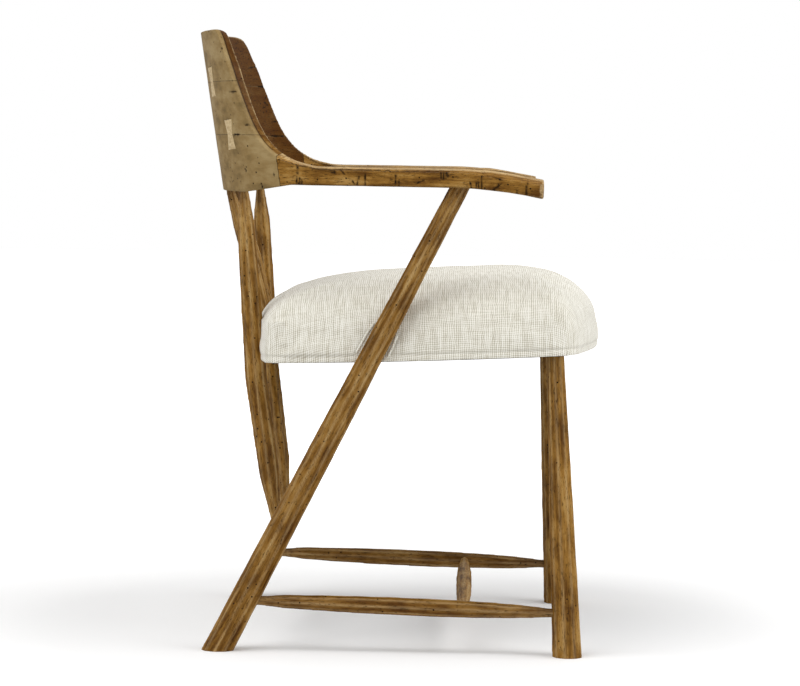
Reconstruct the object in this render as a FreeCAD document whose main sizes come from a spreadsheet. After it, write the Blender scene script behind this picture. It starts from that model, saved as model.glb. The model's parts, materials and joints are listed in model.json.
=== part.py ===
"""Driftwood dining chair: a round-backed armchair with turned legs and an upholstered seat.

Millimetres, +Z up. The chair faces -Y, its left and right sides are -X and +X, and the origin
lies on the floor below the middle of the chair.
"""
import FreeCAD
import Part
import math
import os

Vector = FreeCAD.Vector

# Driving sizes: alias, value, meaning. Angles are degrees, names ending in share are fractions.
SIZES = [
    ("front_foot_half", 250, "front foot centre, out from the middle"),
    ("front_foot_reach", 234, "front foot centre, forward of the middle"),
    ("front_leg_top_half", 226, "front leg top centre, out from the middle"),
    ("front_leg_top_reach", 211.5, "front leg top centre, forward of the middle"),
    ("front_leg_foot_dia", 39, "front leg at the floor"),
    ("front_leg_mid_dia", 31.5, "front leg halfway up"),
    ("front_leg_top_dia", 23, "front leg under the seat"),
    ("front_leg_tenon_dia", 14, "tenon in the seat rail"),
    ("front_leg_tenon_length", 32, "tenon in the seat rail"),
    ("rear_foot_half", 247, "rear foot centre, out from the middle"),
    ("rear_foot_reach", 229, "rear foot centre, behind the middle"),
    ("rear_leg_top_reach", 81.5, "raking leg under the arm, forward of the middle"),
    ("rear_leg_foot_dia", 38.5, "raking leg at the floor"),
    ("rear_leg_mid_dia", 34, "raking leg halfway up"),
    ("rear_leg_top_dia", 24.5, "raking leg under the arm"),
    ("rear_leg_tenon_dia", 14, "tenon in the arm"),
    ("rear_leg_tenon_length", 15, "height of the tenon in the arm"),
    ("back_thickness", 20, "back boards"),
    ("back_arc_radius", 470, "plan radius of the back"),
    ("back_arc_half", 200, "half width of the wide arc of the back"),
    ("back_corner_radius", 95, "plan radius where the back turns into the arm"),
    ("back_reach", 237, "middle of the back's lower edge, behind the middle"),
    ("back_bottom_height", 606, "lower edge of the back"),
    ("lower_board_height", 76, "lower back board"),
    ("middle_board_height", 71, "middle back board"),
    ("upper_board_height", 69, "upper back board"),
    ("back_lean", 9, "lean of the back from upright, degrees"),
    ("back_seam_turn", 64, "turn of the plan line at the seam of back and arm, degrees"),
    ("arm_splay", 4, "arms open towards the front, degrees"),
    ("arm_front_reach", 193, "arm end, forward of the middle"),
    ("arm_front_width", 54, "arm width at its front end"),
    ("arm_front_radius", 9, "rounded corners of the arm end"),
    ("arm_underside_rise", 11, "underside of the arm over the lower edge of the back"),
    ("arm_thickness", 25, "arm, from its underside to its top"),
    ("arm_front_drop", 10, "underside at the arm end below the level underside"),
    ("arm_front_thickness", 23, "arm at its front end"),
    ("arm_under_start_reach", 205, "where the lower edge starts to rise, behind the middle"),
    ("arm_under_end_reach", 140, "where the lower edge is level again, behind the middle"),
    ("arm_droop_reach", 110, "where the arm starts to droop, forward of the middle"),
    ("arm_stock_height", 84, "stock that the arm is shaped from"),
    ("wing_plane_half", 225, "plane of the wing's outline, out from the middle"),
    ("wing_skew", 45, "the wing's edge is cut across the board, degrees"),
    ("wing_foot_reach", 149.4, "wing line met by the top of the arm, behind the middle"),
    ("wing_rake", 37.9, "wing line from upright in its plane, degrees"),
    ("wing_sweep_radius", 168, "sweep from the wing into the arm"),
    ("wing_corner_radius", 38, "rounded upper corner of the wing"),
    ("wing_cut_length", 150, "half length of the wing cut"),
    ("key_length", 40, "butterfly key, along the boards' height"),
    ("key_width", 33, "butterfly key at its ends"),
    ("key_waist", 21, "butterfly key at its waist"),
    ("key_depth", 8, "butterfly key, let into the outer face"),
    ("key_high_half", 110, "upper key, out from the middle"),
    ("key_low_half", 172, "lower key, out from the middle"),
    ("dowel_dia", 8, "dowels"),
    ("dowel_length", 40, "dowels"),
    ("dowel_inner_half", 75, "inner board dowels, out from the middle"),
    ("dowel_outer_half", 142, "outer board dowels, out from the middle"),
    ("arm_dowel_spacing", 16, "dowels in the seam of back and arm"),
    ("post_top_half", 160, "outer back post top, out from the middle"),
    ("post_top_reach", 208, "outer back post top, behind the middle"),
    ("post_bow_half", 128, "outer back post at its bow, out from the middle"),
    ("post_bow_reach", 191, "outer back post at its bow, behind the middle"),
    ("post_bow_height", 354, "outer back post at its bow"),
    ("post_foot_half", 99, "outer back post foot, out from the middle"),
    ("post_end_dia", 12, "outer back post ends"),
    ("post_neck_dia", 23.5, "outer back post below its upper end"),
    ("post_mid_dia", 29.5, "outer back post at its bow"),
    ("post_low_dia", 28, "outer back post above its foot"),
    ("post_tenon_length", 20, "back post and spindle ends in the lower board"),
    ("spindle_top_half", 46, "inner spindle top, out from the middle"),
    ("spindle_top_reach", 235.5, "inner spindle top, behind the middle"),
    ("spindle_foot_half", 38, "inner spindle foot, out from the middle"),
    ("spindle_foot_reach", 182, "inner spindle foot, behind the middle"),
    ("spindle_end_dia", 11, "inner spindle ends"),
    ("spindle_mid_dia", 20.5, "inner spindle at its middle"),
    ("spindle_tenon_length", 18, "spindle end in the seat rail"),
    ("stretcher_end_dia", 12.5, "side and centre stretcher ends"),
    ("stretcher_tenon_length", 24, "straight stretcher ends in the legs"),
    ("centre_tenon_length", 13, "straight stretcher ends in the side stretchers"),
    ("side_stretcher_mid_dia", 24, "side stretcher at its middle"),
    ("side_stretcher_front_height", 57, "side stretcher at the front leg"),
    ("side_stretcher_rear_height", 67.5, "side stretcher at the raking leg"),
    ("centre_stretcher_reach", 95.5, "centre stretcher, forward of the middle"),
    ("centre_stretcher_mid_dia", 22, "centre stretcher at its middle"),
    ("rear_stretcher_height", 137, "rear stretcher between the raking legs"),
    ("rear_stretcher_mid_dia", 27, "rear stretcher at its middle"),
    ("rear_stretcher_end_dia", 14, "rear stretcher ends"),
    ("seat_plane_height", 387.4, "underside of the seat, over the origin"),
    ("seat_tilt", 2.7, "seat is higher in front, degrees"),
    ("seat_rear_reach", 195, "rear edge of the seat at the middle"),
    ("seat_rear_corner_reach", 178, "rear corners of the seat, behind the middle"),
    ("seat_rear_half", 225, "rear corners of the seat, out from the middle"),
    ("seat_side_half", 262, "widest place of the seat, out from the middle"),
    ("seat_front_half", 255, "front corners of the seat, out from the middle"),
    ("seat_front_corner_reach", 247, "front corners of the seat, forward of the middle"),
    ("seat_front_reach", 277, "front edge of the seat at the middle"),
    ("seat_rear_corner_radius", 30, "rounded rear corners of the seat"),
    ("seat_front_corner_radius", 45, "rounded front corners of the seat"),
    ("seat_crown_height", 112, "top of the cushion over the seat's underside"),
    ("seat_crown_reach", 100, "top of the cushion, forward of the middle"),
    ("cover_thickness", 1.2, "linen cover"),
    ("rail_height", 45, "seat rails"),
    ("rail_thickness", 24, "seat rails"),
    ("rail_setback", 12.3, "seat rails behind the side and front of the cushion"),
    ("rail_rear_setback", 5.3, "rear seat rail behind the back of the cushion"),
    ("rail_front_half", 198, "front rail ends, out from the middle"),
    ("rail_rear_half", 170, "rear rail ends, out from the middle"),
    ("deck_thickness", 9, "plywood deck"),
    ("dust_cover_thickness", 1, "black dust cover"),
    ("dust_cover_setback", 8, "dust cover behind the edge of the cushion"),
    ("block_leg", 48, "corner block along each rail"),
    ("screw_dia", 4, "screw shanks"),
    ("screw_head_dia", 8, "screw heads"),
    ("screw_head_height", 2.5, "screw heads"),
    ("screw_length", 36, "screw shanks"),
    ("bolt_dia", 6, "leg bolts"),
    ("bolt_head_dia", 12, "leg bolt heads"),
    ("bolt_head_height", 4, "leg bolt heads"),
    ("bolt_grip", 12, "leg bolt end in the raking leg"),
    ("fit_clearance", 0.1, "clearance round tenons, dowels and screws"),
    ("soft_clearance", 0.3, "clearance round soft pieces"),
    ("overrun", 40, "length by which cuts run past the stock"),
]

# Heights that follow from the driving sizes: alias, formula, meaning.
HEIGHTS = [
    ("back_low_seam_height", "back_bottom_height + lower_board_height", "seam of lower and middle board"),
    ("back_high_seam_height", "back_low_seam_height + middle_board_height", "seam of middle and upper board"),
    ("back_top_height", "back_high_seam_height + upper_board_height", "upper edge of the back"),
    ("arm_underside_height", "back_bottom_height + arm_underside_rise", "underside of the arm"),
    ("arm_top_height", "arm_underside_height + arm_thickness", "top of the arm"),
    ("arm_front_underside_height", "arm_underside_height - arm_front_drop", "underside at the arm end"),
    ("arm_front_top_height", "arm_front_underside_height + arm_front_thickness", "top at the arm end"),
]

# Rising levels of the cushion: height as a share of the crown height, then the outline's width,
# its part behind the crown and its part before the crown as shares of the seat's own outline.
CUSHION_SHARES = [
    (0.000, 0.990, 0.990, 0.985),
    (0.090, 0.998, 0.998, 0.998),
    (0.360, 1.000, 1.000, 1.000),
    (0.480, 0.992, 0.990, 0.968),
    (0.580, 0.975, 0.970, 0.914),
    (0.680, 0.950, 0.941, 0.862),
    (0.760, 0.920, 0.901, 0.812),
    (0.835, 0.868, 0.833, 0.766),
    (0.895, 0.800, 0.736, 0.711),
    (0.935, 0.710, 0.640, 0.622),
    (0.965, 0.590, 0.525, 0.507),
    (0.985, 0.450, 0.400, 0.380),
    (1.000, 0.280, 0.240, 0.220),
]
# Distance of an arc's middle from its corner, as a share of the way to the chord's middle.
CORNER_SHARE = 2 - math.sqrt(2)
# Places along the turned pieces, as shares of their length.
FRONT_LEG_MID_SHARE = 0.52
REAR_LEG_MID_SHARE = 0.47
STRETCHER_SHARES = (0.12, 0.38, 0.58, 0.84)
STRETCHER_SWELL_SHARES = (0.45, 0.95, 1.00, 0.55)
SPINDLE_SHARES = (0.16, 0.45, 0.72)
SPINDLE_SWELL_SHARES = (0.60, 0.98, 0.90)
POST_NECK_SHARE = 0.18
POST_LOW_SHARE = 0.62
POST_FOOT_NECK_SHARE = 0.93
BLOCK_SCREW_SHARES = (0.30, 0.70)
BOLT_HEIGHT_SHARE = 0.50
POST_SCREW_HEIGHT_SHARE = 0.55

doc = FreeCAD.newDocument("driftwood_dining_chair")
sheet = doc.addObject("Spreadsheet::Sheet", "sizes")
for row, (alias, value, meaning) in enumerate(SIZES + HEIGHTS, 1):
    sheet.set(f"A{row}", meaning)
    sheet.set(f"B{row}", f"={value}")
    sheet.setAlias(f"B{row}", alias)
doc.recompute()

PIECES = []
SIDES = (("left", -1), ("right", 1))
UP = Vector(0, 0, 1)


def size(alias):
    """Value of one driving size."""
    return float(sheet.get(alias))


def add(kind, name, **formulas):
    """Document object whose sizes follow the sheet."""
    made = doc.addObject(kind, name)
    for prop, formula in formulas.items():
        made.setExpression(prop, formula)
    return made


def along(start, direction):
    """Placement at a point with its Z axis along a direction."""
    return FreeCAD.Placement(start, FreeCAD.Rotation(UP, direction))


def rod(name, start, direction, dia, length):
    """Cylinder from a point along a direction; dia and length are formulas."""
    made = add("Part::Cylinder", name, Radius=f"({dia}) / 2", Height=length)
    made.Placement = along(start, direction)
    return made


def turned(name, stations, direction):
    """Turned piece through rings given as (centre, diameter formula), some with their own direction."""
    rings = []
    for number, (centre, dia, *own) in enumerate(stations):
        ring = add("Part::Circle", f"{name}_ring_{number}", Radius=f"({dia}) / 2")
        ring.Placement = along(centre, own[0] if own else direction)
        rings.append(ring)
    made = add("Part::Loft", f"{name}_turning")
    made.Sections = rings
    made.Solid = True
    made.Ruled = True
    return made


def combine(kind, name, base, tools):
    """Chain of booleans of one kind: Part::Cut, Part::Fuse or Part::Common."""
    for number, tool in enumerate(tools):
        step = add(kind, f"{name}_{kind[6:].lower()}_{number}")
        step.Base = base
        step.Tool = tool
        base = step
    return base


def extrusion(name, curves, placement, direction, forward, backward="0"):
    """Solid swept straight from a closed outline; the lengths are formulas."""
    outline = add("Sketcher::SketchObject", f"{name}_outline")
    outline.Placement = placement
    outline.addGeometry(curves)
    made = add("Part::Extrusion", f"{name}_block", LengthFwd=forward, LengthRev=backward)
    made.Base = outline
    made.DirMode = "Custom"
    made.Dir = direction
    made.Solid = True
    return made


def piece(made, label):
    """Names a finished piece and lists it for export."""
    made.Label = label
    PIECES.append(made)
    return made


def group(label, members):
    """One node that holds several alike solids."""
    made = add("Part::Compound", f"{label}_group")
    made.Links = members
    return piece(made, label)


def closed_lines(points):
    """Straight segments round a polygon."""
    return [Part.LineSegment(a, b) for a, b in zip(points, points[1:] + points[:1])]


def polar(centre, radius, turn):
    """Point of a plan arc; the turn is counted from straight back, towards +X."""
    return centre + Vector(radius * math.sin(turn), radius * math.cos(turn), 0)


# Plan line of the back and arms, right half, at the height of the back's lower edge.
class PlanLine:
    """Wide arc of the back, tight corner arc and straight arm, in plan."""

    def __init__(self):
        self.lift = size("back_bottom_height")
        self.arc_radius = size("back_arc_radius")
        self.corner_radius = size("back_corner_radius")
        self.half = size("back_thickness") / 2
        self.arc_centre = Vector(0, size("back_reach") - self.arc_radius, 0)
        self.corner_turn = math.asin(size("back_arc_half") / self.arc_radius)
        start = polar(self.arc_centre, self.arc_radius, self.corner_turn)
        self.corner_centre = polar(start, -self.corner_radius, self.corner_turn)
        self.seam_turn = math.radians(size("back_seam_turn"))
        self.arm_turn = math.pi / 2 - math.radians(size("arm_splay"))
        self.lean = math.tan(math.radians(size("back_lean")))

    def centre(self, turn):
        """Centre and radius of the arc that holds a turn."""
        if turn < self.corner_turn:
            return self.arc_centre, self.arc_radius
        return self.corner_centre, self.corner_radius

    def point(self, turn, offset=0, height=None):
        """Point of the plan line, offset outwards and leaned to a height."""
        centre, radius = self.centre(turn)
        flat = polar(centre, radius + offset, turn)
        rise = 0 if height is None else height - self.lift
        return flat + Vector(0, self.lean * rise, self.lift + rise)

    def arc(self, offset, first, last, side=1):
        """Arc of the plan line between two turns."""
        turns = (first, (first + last) / 2, last)
        centre, radius = self.centre((first + last) / 2)
        points = [polar(centre, radius + offset, turn) for turn in turns]
        return Part.Arc(*[Vector(side * p.x, p.y, 0) for p in points])

    def lean_direction(self):
        """Direction of the boards' height."""
        return Vector(0, self.lean, 1)


plan = PlanLine()
at_back = FreeCAD.Placement(Vector(0, 0, plan.lift), FreeCAD.Rotation())


def mirrored(point, side):
    """The point on the right side, or its mirror image on the left."""
    return Vector(side * point.x, point.y, point.z)


def back_outline():
    """Plan outline of a board, from seam to seam."""
    outer, inner = plan.half, -plan.half
    curves = []
    for offset in (outer, inner):
        curves.append(plan.arc(offset, -plan.corner_turn, plan.corner_turn))
        for _, side in SIDES:
            curves.append(plan.arc(offset, plan.corner_turn, plan.seam_turn, side))
    for _, side in SIDES:
        ends = [polar(plan.corner_centre, plan.corner_radius + o, plan.seam_turn) for o in (outer, inner)]
        curves.append(Part.LineSegment(*[mirrored(p, side) for p in ends]))
    return curves


def arm_outline(side):
    """Plan outline of an arm, from the seam to its rounded front end."""
    outer, inner = plan.half, -plan.half
    seam = [polar(plan.corner_centre, plan.corner_radius + o, plan.seam_turn) for o in (outer, inner)]
    root = [polar(plan.corner_centre, plan.corner_radius + o, plan.arm_turn) for o in (outer, inner)]
    middle = polar(plan.corner_centre, plan.corner_radius, plan.arm_turn)
    front_y = -size("arm_front_reach")
    front_x = middle.x + (middle.y - front_y) * math.tan(math.radians(size("arm_splay")))
    half = size("arm_front_width") / 2
    radius = size("arm_front_radius")
    tips = [Vector(front_x + half, front_y, 0), Vector(front_x - half, front_y, 0)]
    sides = []
    fronts = []
    rounds = []
    for tip, start, inward in zip(tips, root, (-1, 1)):
        back = (start - tip).normalize() * radius
        across = Vector(inward * radius, 0, 0)
        chord = tip + (back + across) / 2
        sides.append(tip + back)
        fronts.append(tip + across)
        rounds.append(tip + (chord - tip) * CORNER_SHARE)
    curves = [
        plan.arc(outer, plan.seam_turn, plan.arm_turn),
        Part.LineSegment(root[0], sides[0]),
        Part.Arc(sides[0], rounds[0], fronts[0]),
        Part.LineSegment(fronts[0], fronts[1]),
        Part.Arc(fronts[1], rounds[1], sides[1]),
        Part.LineSegment(sides[1], root[1]),
        plan.arc(inner, plan.seam_turn, plan.arm_turn),
        Part.LineSegment(seam[1], seam[0]),
    ]
    if side > 0:
        return curves
    turn = FreeCAD.Matrix()
    turn.scale(-1, 1, 1)
    for curve in curves:
        curve.transform(turn)
    return curves


def arm_centre_x(y):
    """Middle of the straight part of the right arm at a depth."""
    middle = polar(plan.corner_centre, plan.corner_radius, plan.arm_turn)
    return middle.x + (middle.y - y) * math.tan(math.radians(size("arm_splay")))


def wing_cutter(side):
    """Stock forward of the wing's edge and above the arm, cut away on one side."""
    rake = math.radians(size("wing_rake"))
    down = Vector(-math.sin(rake), -math.cos(rake), 0)
    tangent = math.tan((math.pi / 2 - rake) / 2)
    top = size("back_top_height")
    low = size("arm_top_height")
    foot = Vector(size("wing_foot_reach"), low, 0)
    tip = foot - down * ((top - low) / math.cos(rake))
    corner = size("wing_corner_radius") * tangent
    sweep = size("wing_sweep_radius") * tangent
    skew = math.tan(math.radians(size("wing_skew")))
    overrun = size("overrun")
    tip_start = tip + Vector(corner, 0, 0)
    tip_end = tip + down * corner
    tip_mid = tip + (tip_start + tip_end - tip * 2).normalize() * (
        size("wing_corner_radius") * (1 / math.cos((math.pi / 2 - rake) / 2) - 1))
    sweep_start = foot - down * sweep
    sweep_end = foot - Vector(sweep, 0, 0)
    sweep_mid = foot + (sweep_start + sweep_end - foot * 2).normalize() * (
        size("wing_sweep_radius") * (1 / math.cos((math.pi / 2 - rake) / 2) - 1))
    front_y = -size("arm_front_reach")
    droop_y = -size("arm_droop_reach")
    shift = skew * (arm_centre_x(front_y) - size("wing_plane_half"))
    slope = (low - size("arm_front_top_height")) / (droop_y - front_y)
    droop = Vector(droop_y - shift, low, 0)
    end_y = front_y - shift - overrun
    end = Vector(end_y, low - slope * (droop.x - end_y), 0)
    lines = [tip_end, sweep_start], [sweep_end, droop], [droop, end]
    around = [end, Vector(end.x, top + overrun, 0), Vector(tip_start.x, top + overrun, 0), tip_start]
    curves = [Part.Arc(tip_start, tip_mid, tip_end), Part.Arc(sweep_start, sweep_mid, sweep_end)]
    curves += [Part.LineSegment(a, b) for a, b in lines]
    curves += [Part.LineSegment(a, b) for a, b in zip(around, around[1:])]
    side_plane = FreeCAD.Rotation(Vector(0, 1, 0), Vector(0, 0, 1), Vector(1, 0, 0), "ZXY")
    place = FreeCAD.Placement(Vector(side * size("wing_plane_half"), 0, 0), side_plane)
    name = "wing_cut_right" if side > 0 else "wing_cut_left"
    length = "sizes.wing_cut_length"
    return extrusion(name, curves, place, Vector(side, skew, 0), length, length)


def underside_cutter():
    """Stock below the lower edge of the back and arms."""
    overrun = size("overrun")
    front_y = -size("arm_front_reach")
    droop_y = -size("arm_droop_reach")
    level = size("arm_underside_height")
    slope = (level - size("arm_front_underside_height")) / (droop_y - front_y)
    low = size("back_bottom_height")
    end_y = front_y - overrun
    points = [
        Vector(size("arm_under_start_reach"), low, 0),
        Vector(size("arm_under_end_reach"), level, 0),
        Vector(droop_y, level, 0),
        Vector(end_y, level - slope * (droop_y - end_y), 0),
        Vector(end_y, low - overrun, 0),
        Vector(size("arm_under_start_reach"), low - overrun, 0),
    ]
    side_plane = FreeCAD.Rotation(Vector(0, 1, 0), Vector(0, 0, 1), Vector(1, 0, 0), "ZXY")
    place = FreeCAD.Placement(Vector(), side_plane)
    width = "sizes.front_foot_half + sizes.arm_front_width + sizes.overrun"
    return extrusion("underside_cut", closed_lines(points), place, Vector(1, 0, 0), width, width)


def lean_frame(turn, height, side, offset):
    """Point on a board's face with its outward and upward directions."""
    point = mirrored(plan.point(turn, offset, height), side)
    outward = Vector(side * math.sin(turn), math.cos(turn), 0)
    up = plan.lean_direction()
    outward = outward - up * (outward.dot(up) / up.dot(up))
    return point, outward.normalize(), up


def key(name, turn, height, side, clearance):
    """Butterfly key across a seam, let into the outer face."""
    point, outward, up = lean_frame(turn, height, side, plan.half)
    grow = size("fit_clearance") * clearance
    half = size("key_length") / 2 + grow
    wide = size("key_width") / 2 + grow
    waist = size("key_waist") / 2 + grow
    points = [Vector(wide, half, 0), Vector(waist, 0, 0), Vector(wide, -half, 0)]
    points += [Vector(-p.x, p.y, 0) for p in reversed(points)]
    across = up.cross(outward)
    turn_to = FreeCAD.Rotation(across, up, outward, "ZYX")
    depth = f"sizes.key_depth + {clearance} * sizes.fit_clearance"
    forward = f"{clearance} * sizes.key_depth"
    place = FreeCAD.Placement(point, turn_to)
    return extrusion(name, closed_lines(points), place, outward, forward, depth)


def board_dowel(name, half, seam, side, clearance):
    """Dowel across a seam of the back, along the boards' height."""
    turn = math.asin(half / plan.arc_radius)
    middle = mirrored(plan.point(turn, 0, seam), side)
    up = plan.lean_direction().normalize()
    start = middle - up * (size("dowel_length") / 2 + clearance * size("fit_clearance"))
    dia = f"sizes.dowel_dia + {2 * clearance} * sizes.fit_clearance"
    length = f"sizes.dowel_length + {2 * clearance} * sizes.fit_clearance"
    return rod(name, start, up, dia, length)


def arm_dowel(name, offset, side, clearance):
    """Dowel across the seam of back and arm, along the plan line."""
    height = (size("arm_underside_height") + size("arm_top_height")) / 2
    height += offset * size("arm_dowel_spacing") / 2
    middle = mirrored(plan.point(plan.seam_turn, 0, height), side)
    run = Vector(side * math.cos(plan.seam_turn), -math.sin(plan.seam_turn), 0)
    start = middle - run * (size("dowel_length") / 2 + clearance * size("fit_clearance"))
    dia = f"sizes.dowel_dia + {2 * clearance} * sizes.fit_clearance"
    length = f"sizes.dowel_length + {2 * clearance} * sizes.fit_clearance"
    return rod(name, start, run, dia, length)


# Axes of the legs, posts and stretchers.
def between(start, end, share):
    """Point on a straight axis."""
    return start + (end - start) * share


def at_height(start, end, height):
    """Point of a straight axis at a height."""
    return between(start, end, (height - start.z) / (end.z - start.z))


def front_axis(side):
    """Front leg axis from the floor to the seat's underside."""
    reach = size("front_leg_top_reach")
    top_z = size("seat_plane_height") + reach * math.tan(math.radians(size("seat_tilt")))
    foot = Vector(side * size("front_foot_half"), -size("front_foot_reach"), 0)
    return foot, Vector(side * size("front_leg_top_half"), -reach, top_z)


def rear_axis(side):
    """Raking leg axis from the floor to the arm's underside."""
    reach = size("rear_leg_top_reach")
    foot = Vector(side * size("rear_foot_half"), size("rear_foot_reach"), 0)
    return foot, Vector(side * arm_centre_x(-reach), -reach, size("arm_underside_height"))


def side_stretcher_axis(side):
    """Side stretcher axis from the raking leg to the front leg."""
    rear = at_height(*rear_axis(side), size("side_stretcher_rear_height"))
    return rear, at_height(*front_axis(side), size("side_stretcher_front_height"))


def centre_stretcher_axis():
    """Centre stretcher axis between the side stretchers."""
    ends = []
    for _, side in SIDES:
        rear, front = side_stretcher_axis(side)
        ends.append(between(rear, front, (rear.y + size("centre_stretcher_reach")) / (rear.y - front.y)))
    return ends


def rear_stretcher_axis():
    """Rear stretcher axis between the raking legs."""
    return [at_height(*rear_axis(side), size("rear_stretcher_height")) for _, side in SIDES]


def post_points(side):
    """Outer back post: end in the lower board, bow, and foot on the rear stretcher's axis."""
    top = Vector(side * size("post_top_half"), size("post_top_reach"), size("back_bottom_height"))
    bow = Vector(side * size("post_bow_half"), size("post_bow_reach"), size("post_bow_height"))
    axis_y = rear_stretcher_axis()[0].y
    foot = Vector(side * size("post_foot_half"), axis_y, size("rear_stretcher_height"))
    return top, bow, foot


def spindle_points(side):
    """Inner spindle: top at the lower board and foot on the rear seat rail."""
    reach = size("spindle_foot_reach")
    lift = size("seat_plane_height") - reach * math.tan(math.radians(size("seat_tilt")))
    top = Vector(side * size("spindle_top_half"), size("spindle_top_reach"), size("back_bottom_height"))
    return top, Vector(side * size("spindle_foot_half"), reach, lift + size("rail_height"))


def swelling(name, start, end, end_dia, mid_dia, tenon):
    """Cigar-shaped turned bar with straight tenons, between points of other pieces' axes."""
    inside = (end - start).normalize() * size(tenon)
    stations = [(start, end_dia), (start + inside, end_dia)]
    for share, swell in zip(STRETCHER_SHARES, STRETCHER_SWELL_SHARES):
        stations.append((between(start, end, share), f"{end_dia} + ({mid_dia} - {end_dia}) * {swell}"))
    stations += [(end - inside, end_dia), (end, end_dia)]
    return turned(name, stations, end - start)


def mortise(name, start, direction, dia, length):
    """Round hole for a turned end, with the fit clearance all round."""
    direction = Vector(direction).normalize()
    begin = start - direction * size("fit_clearance")
    return rod(name, begin, direction, f"{dia} + 2 * sizes.fit_clearance", length)


def rear_leg_turning(name, side, grow="0"):
    """Raking leg, run past the floor and the arm, with an optional clearance."""
    foot, top = rear_axis(side)
    run = (top - foot).normalize() * size("overrun")
    extra = f" + 2 * {grow}"
    stations = [
        (foot - run, "sizes.rear_leg_foot_dia" + extra),
        (foot, "sizes.rear_leg_foot_dia" + extra),
        (between(foot, top, REAR_LEG_MID_SHARE), "sizes.rear_leg_mid_dia" + extra),
        (top, "sizes.rear_leg_top_dia" + extra),
        (top + run, "sizes.rear_leg_top_dia" + extra),
    ]
    return turned(name, stations, top - foot)


def front_leg_turning(name, side):
    """Front leg, run past the floor and the seat's underside."""
    foot, top = front_axis(side)
    run = (top - foot).normalize() * size("overrun")
    stations = [
        (foot - run, "sizes.front_leg_foot_dia"),
        (foot, "sizes.front_leg_foot_dia"),
        (between(foot, top, FRONT_LEG_MID_SHARE), "sizes.front_leg_mid_dia"),
        (top, "sizes.front_leg_top_dia"),
        (top + run, "sizes.front_leg_top_dia"),
    ]
    return turned(name, stations, top - foot)


def post_turning(name, side, grow="0"):
    """Outer back post with its end in the lower board and its foot in the rear stretcher."""
    top, bow, foot = post_points(side)
    extra = f" + 2 * {grow}"
    upper = top - bow
    lower = bow - foot
    tip = top + Vector(upper).normalize() * size("post_tenon_length")
    stations = [
        (tip, "sizes.post_end_dia" + extra, upper),
        (top, "sizes.post_end_dia" + extra, upper),
        (between(top, bow, POST_NECK_SHARE), "sizes.post_neck_dia" + extra),
        (bow, "sizes.post_mid_dia" + extra),
        (between(bow, foot, POST_LOW_SHARE), "sizes.post_low_dia" + extra),
        (between(bow, foot, POST_FOOT_NECK_SHARE), "sizes.post_end_dia" + extra, lower),
        (foot, "sizes.post_end_dia" + extra, lower),
    ]
    return turned(name, stations, top - foot)


# The seat is drawn flat and set at its tilt by this placement.
seat_place = FreeCAD.Placement(
    Vector(0, 0, size("seat_plane_height")),
    FreeCAD.Rotation(Vector(1, 0, 0), -size("seat_tilt")))
seat_up = seat_place.Rotation.multVec(UP)


def corner_middle(first, corner, last):
    """Middle of the arc that rounds a corner between two points."""
    chord = (first + last) / 2
    return corner + (chord - corner) * CORNER_SHARE


def seat_arcs(rear_inset, front_inset, side_inset):
    """Rounded plan outline of the seat, drawn in by the three insets, as points of its arcs in turn."""
    rear_x = size("seat_rear_half") - side_inset
    front_x = size("seat_front_half") - side_inset
    rear_y = size("seat_rear_corner_reach") - rear_inset
    front_y = front_inset - size("seat_front_corner_reach")
    rear_r = size("seat_rear_corner_radius")
    front_r = size("seat_front_corner_radius")
    rear_end = Vector(rear_x - rear_r, rear_y, 0)
    rear_side = Vector(rear_x, rear_y - rear_r, 0)
    front_side = Vector(front_x, front_y + front_r, 0)
    front_end = Vector(front_x - front_r, front_y, 0)
    widest = Vector(size("seat_side_half") - side_inset, (rear_y + front_y) / 2, 0)
    rear_mid = Vector(0, size("seat_rear_reach") - rear_inset, 0)
    front_mid = Vector(0, front_inset - size("seat_front_reach"), 0)
    right = [
        (rear_end, corner_middle(rear_end, Vector(rear_x, rear_y, 0), rear_side), rear_side),
        (rear_side, widest, front_side),
        (front_side, corner_middle(front_side, Vector(front_x, front_y, 0), front_end), front_end),
    ]
    left = [tuple(mirrored(p, -1) for p in reversed(arc)) for arc in reversed(right)]
    front = (front_end, front_mid, mirrored(front_end, -1))
    rear = (mirrored(rear_end, -1), rear_mid, rear_end)
    return [rear] + right + [front] + left


def seat_outline(*insets):
    """Plan outline of the seat as arcs."""
    return [Part.Arc(*points) for points in seat_arcs(*insets)]


def cushion_loft(name, inset):
    """Crowned cushion through its rising outlines, drawn in all round by an inset."""
    wires = []
    crown = size("seat_crown_height") - inset
    middle = -size("seat_crown_reach")
    for level, width, rear, front in CUSHION_SHARES:
        edges = []
        for points in seat_arcs(inset, inset, inset):
            spread = [p.y - middle for p in points]
            depths = [middle + s * (rear if s > 0 else front) for s in spread]
            edges.append(Part.Arc(*[Vector(p.x * width, y, 0) for p, y in zip(points, depths)]).toShape())
        wire = Part.Wire(edges)
        lift = FreeCAD.Placement(Vector(0, 0, level * crown), FreeCAD.Rotation())
        wire.Placement = seat_place.multiply(lift)
        wires.append(wire)
    made = add("Part::Feature", name)
    made.Shape = Part.makeLoft(wires, True, True)
    return made


def seat_block(name, insets, low, high):
    """Flat block of the seat's outline between two heights given as formulas."""
    return extrusion(name, seat_outline(*insets), seat_place, seat_up, high, f"-({low})")


def seat_slab(name, low_corner, high_corner):
    """Box in the seat's tilted frame, used to part the rails."""
    span = high_corner - low_corner
    made = add("Part::Box", name)
    made.Length, made.Width, made.Height = span.x, span.y, span.z
    made.Placement = seat_place.multiply(FreeCAD.Placement(low_corner, FreeCAD.Rotation()))
    return made


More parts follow.
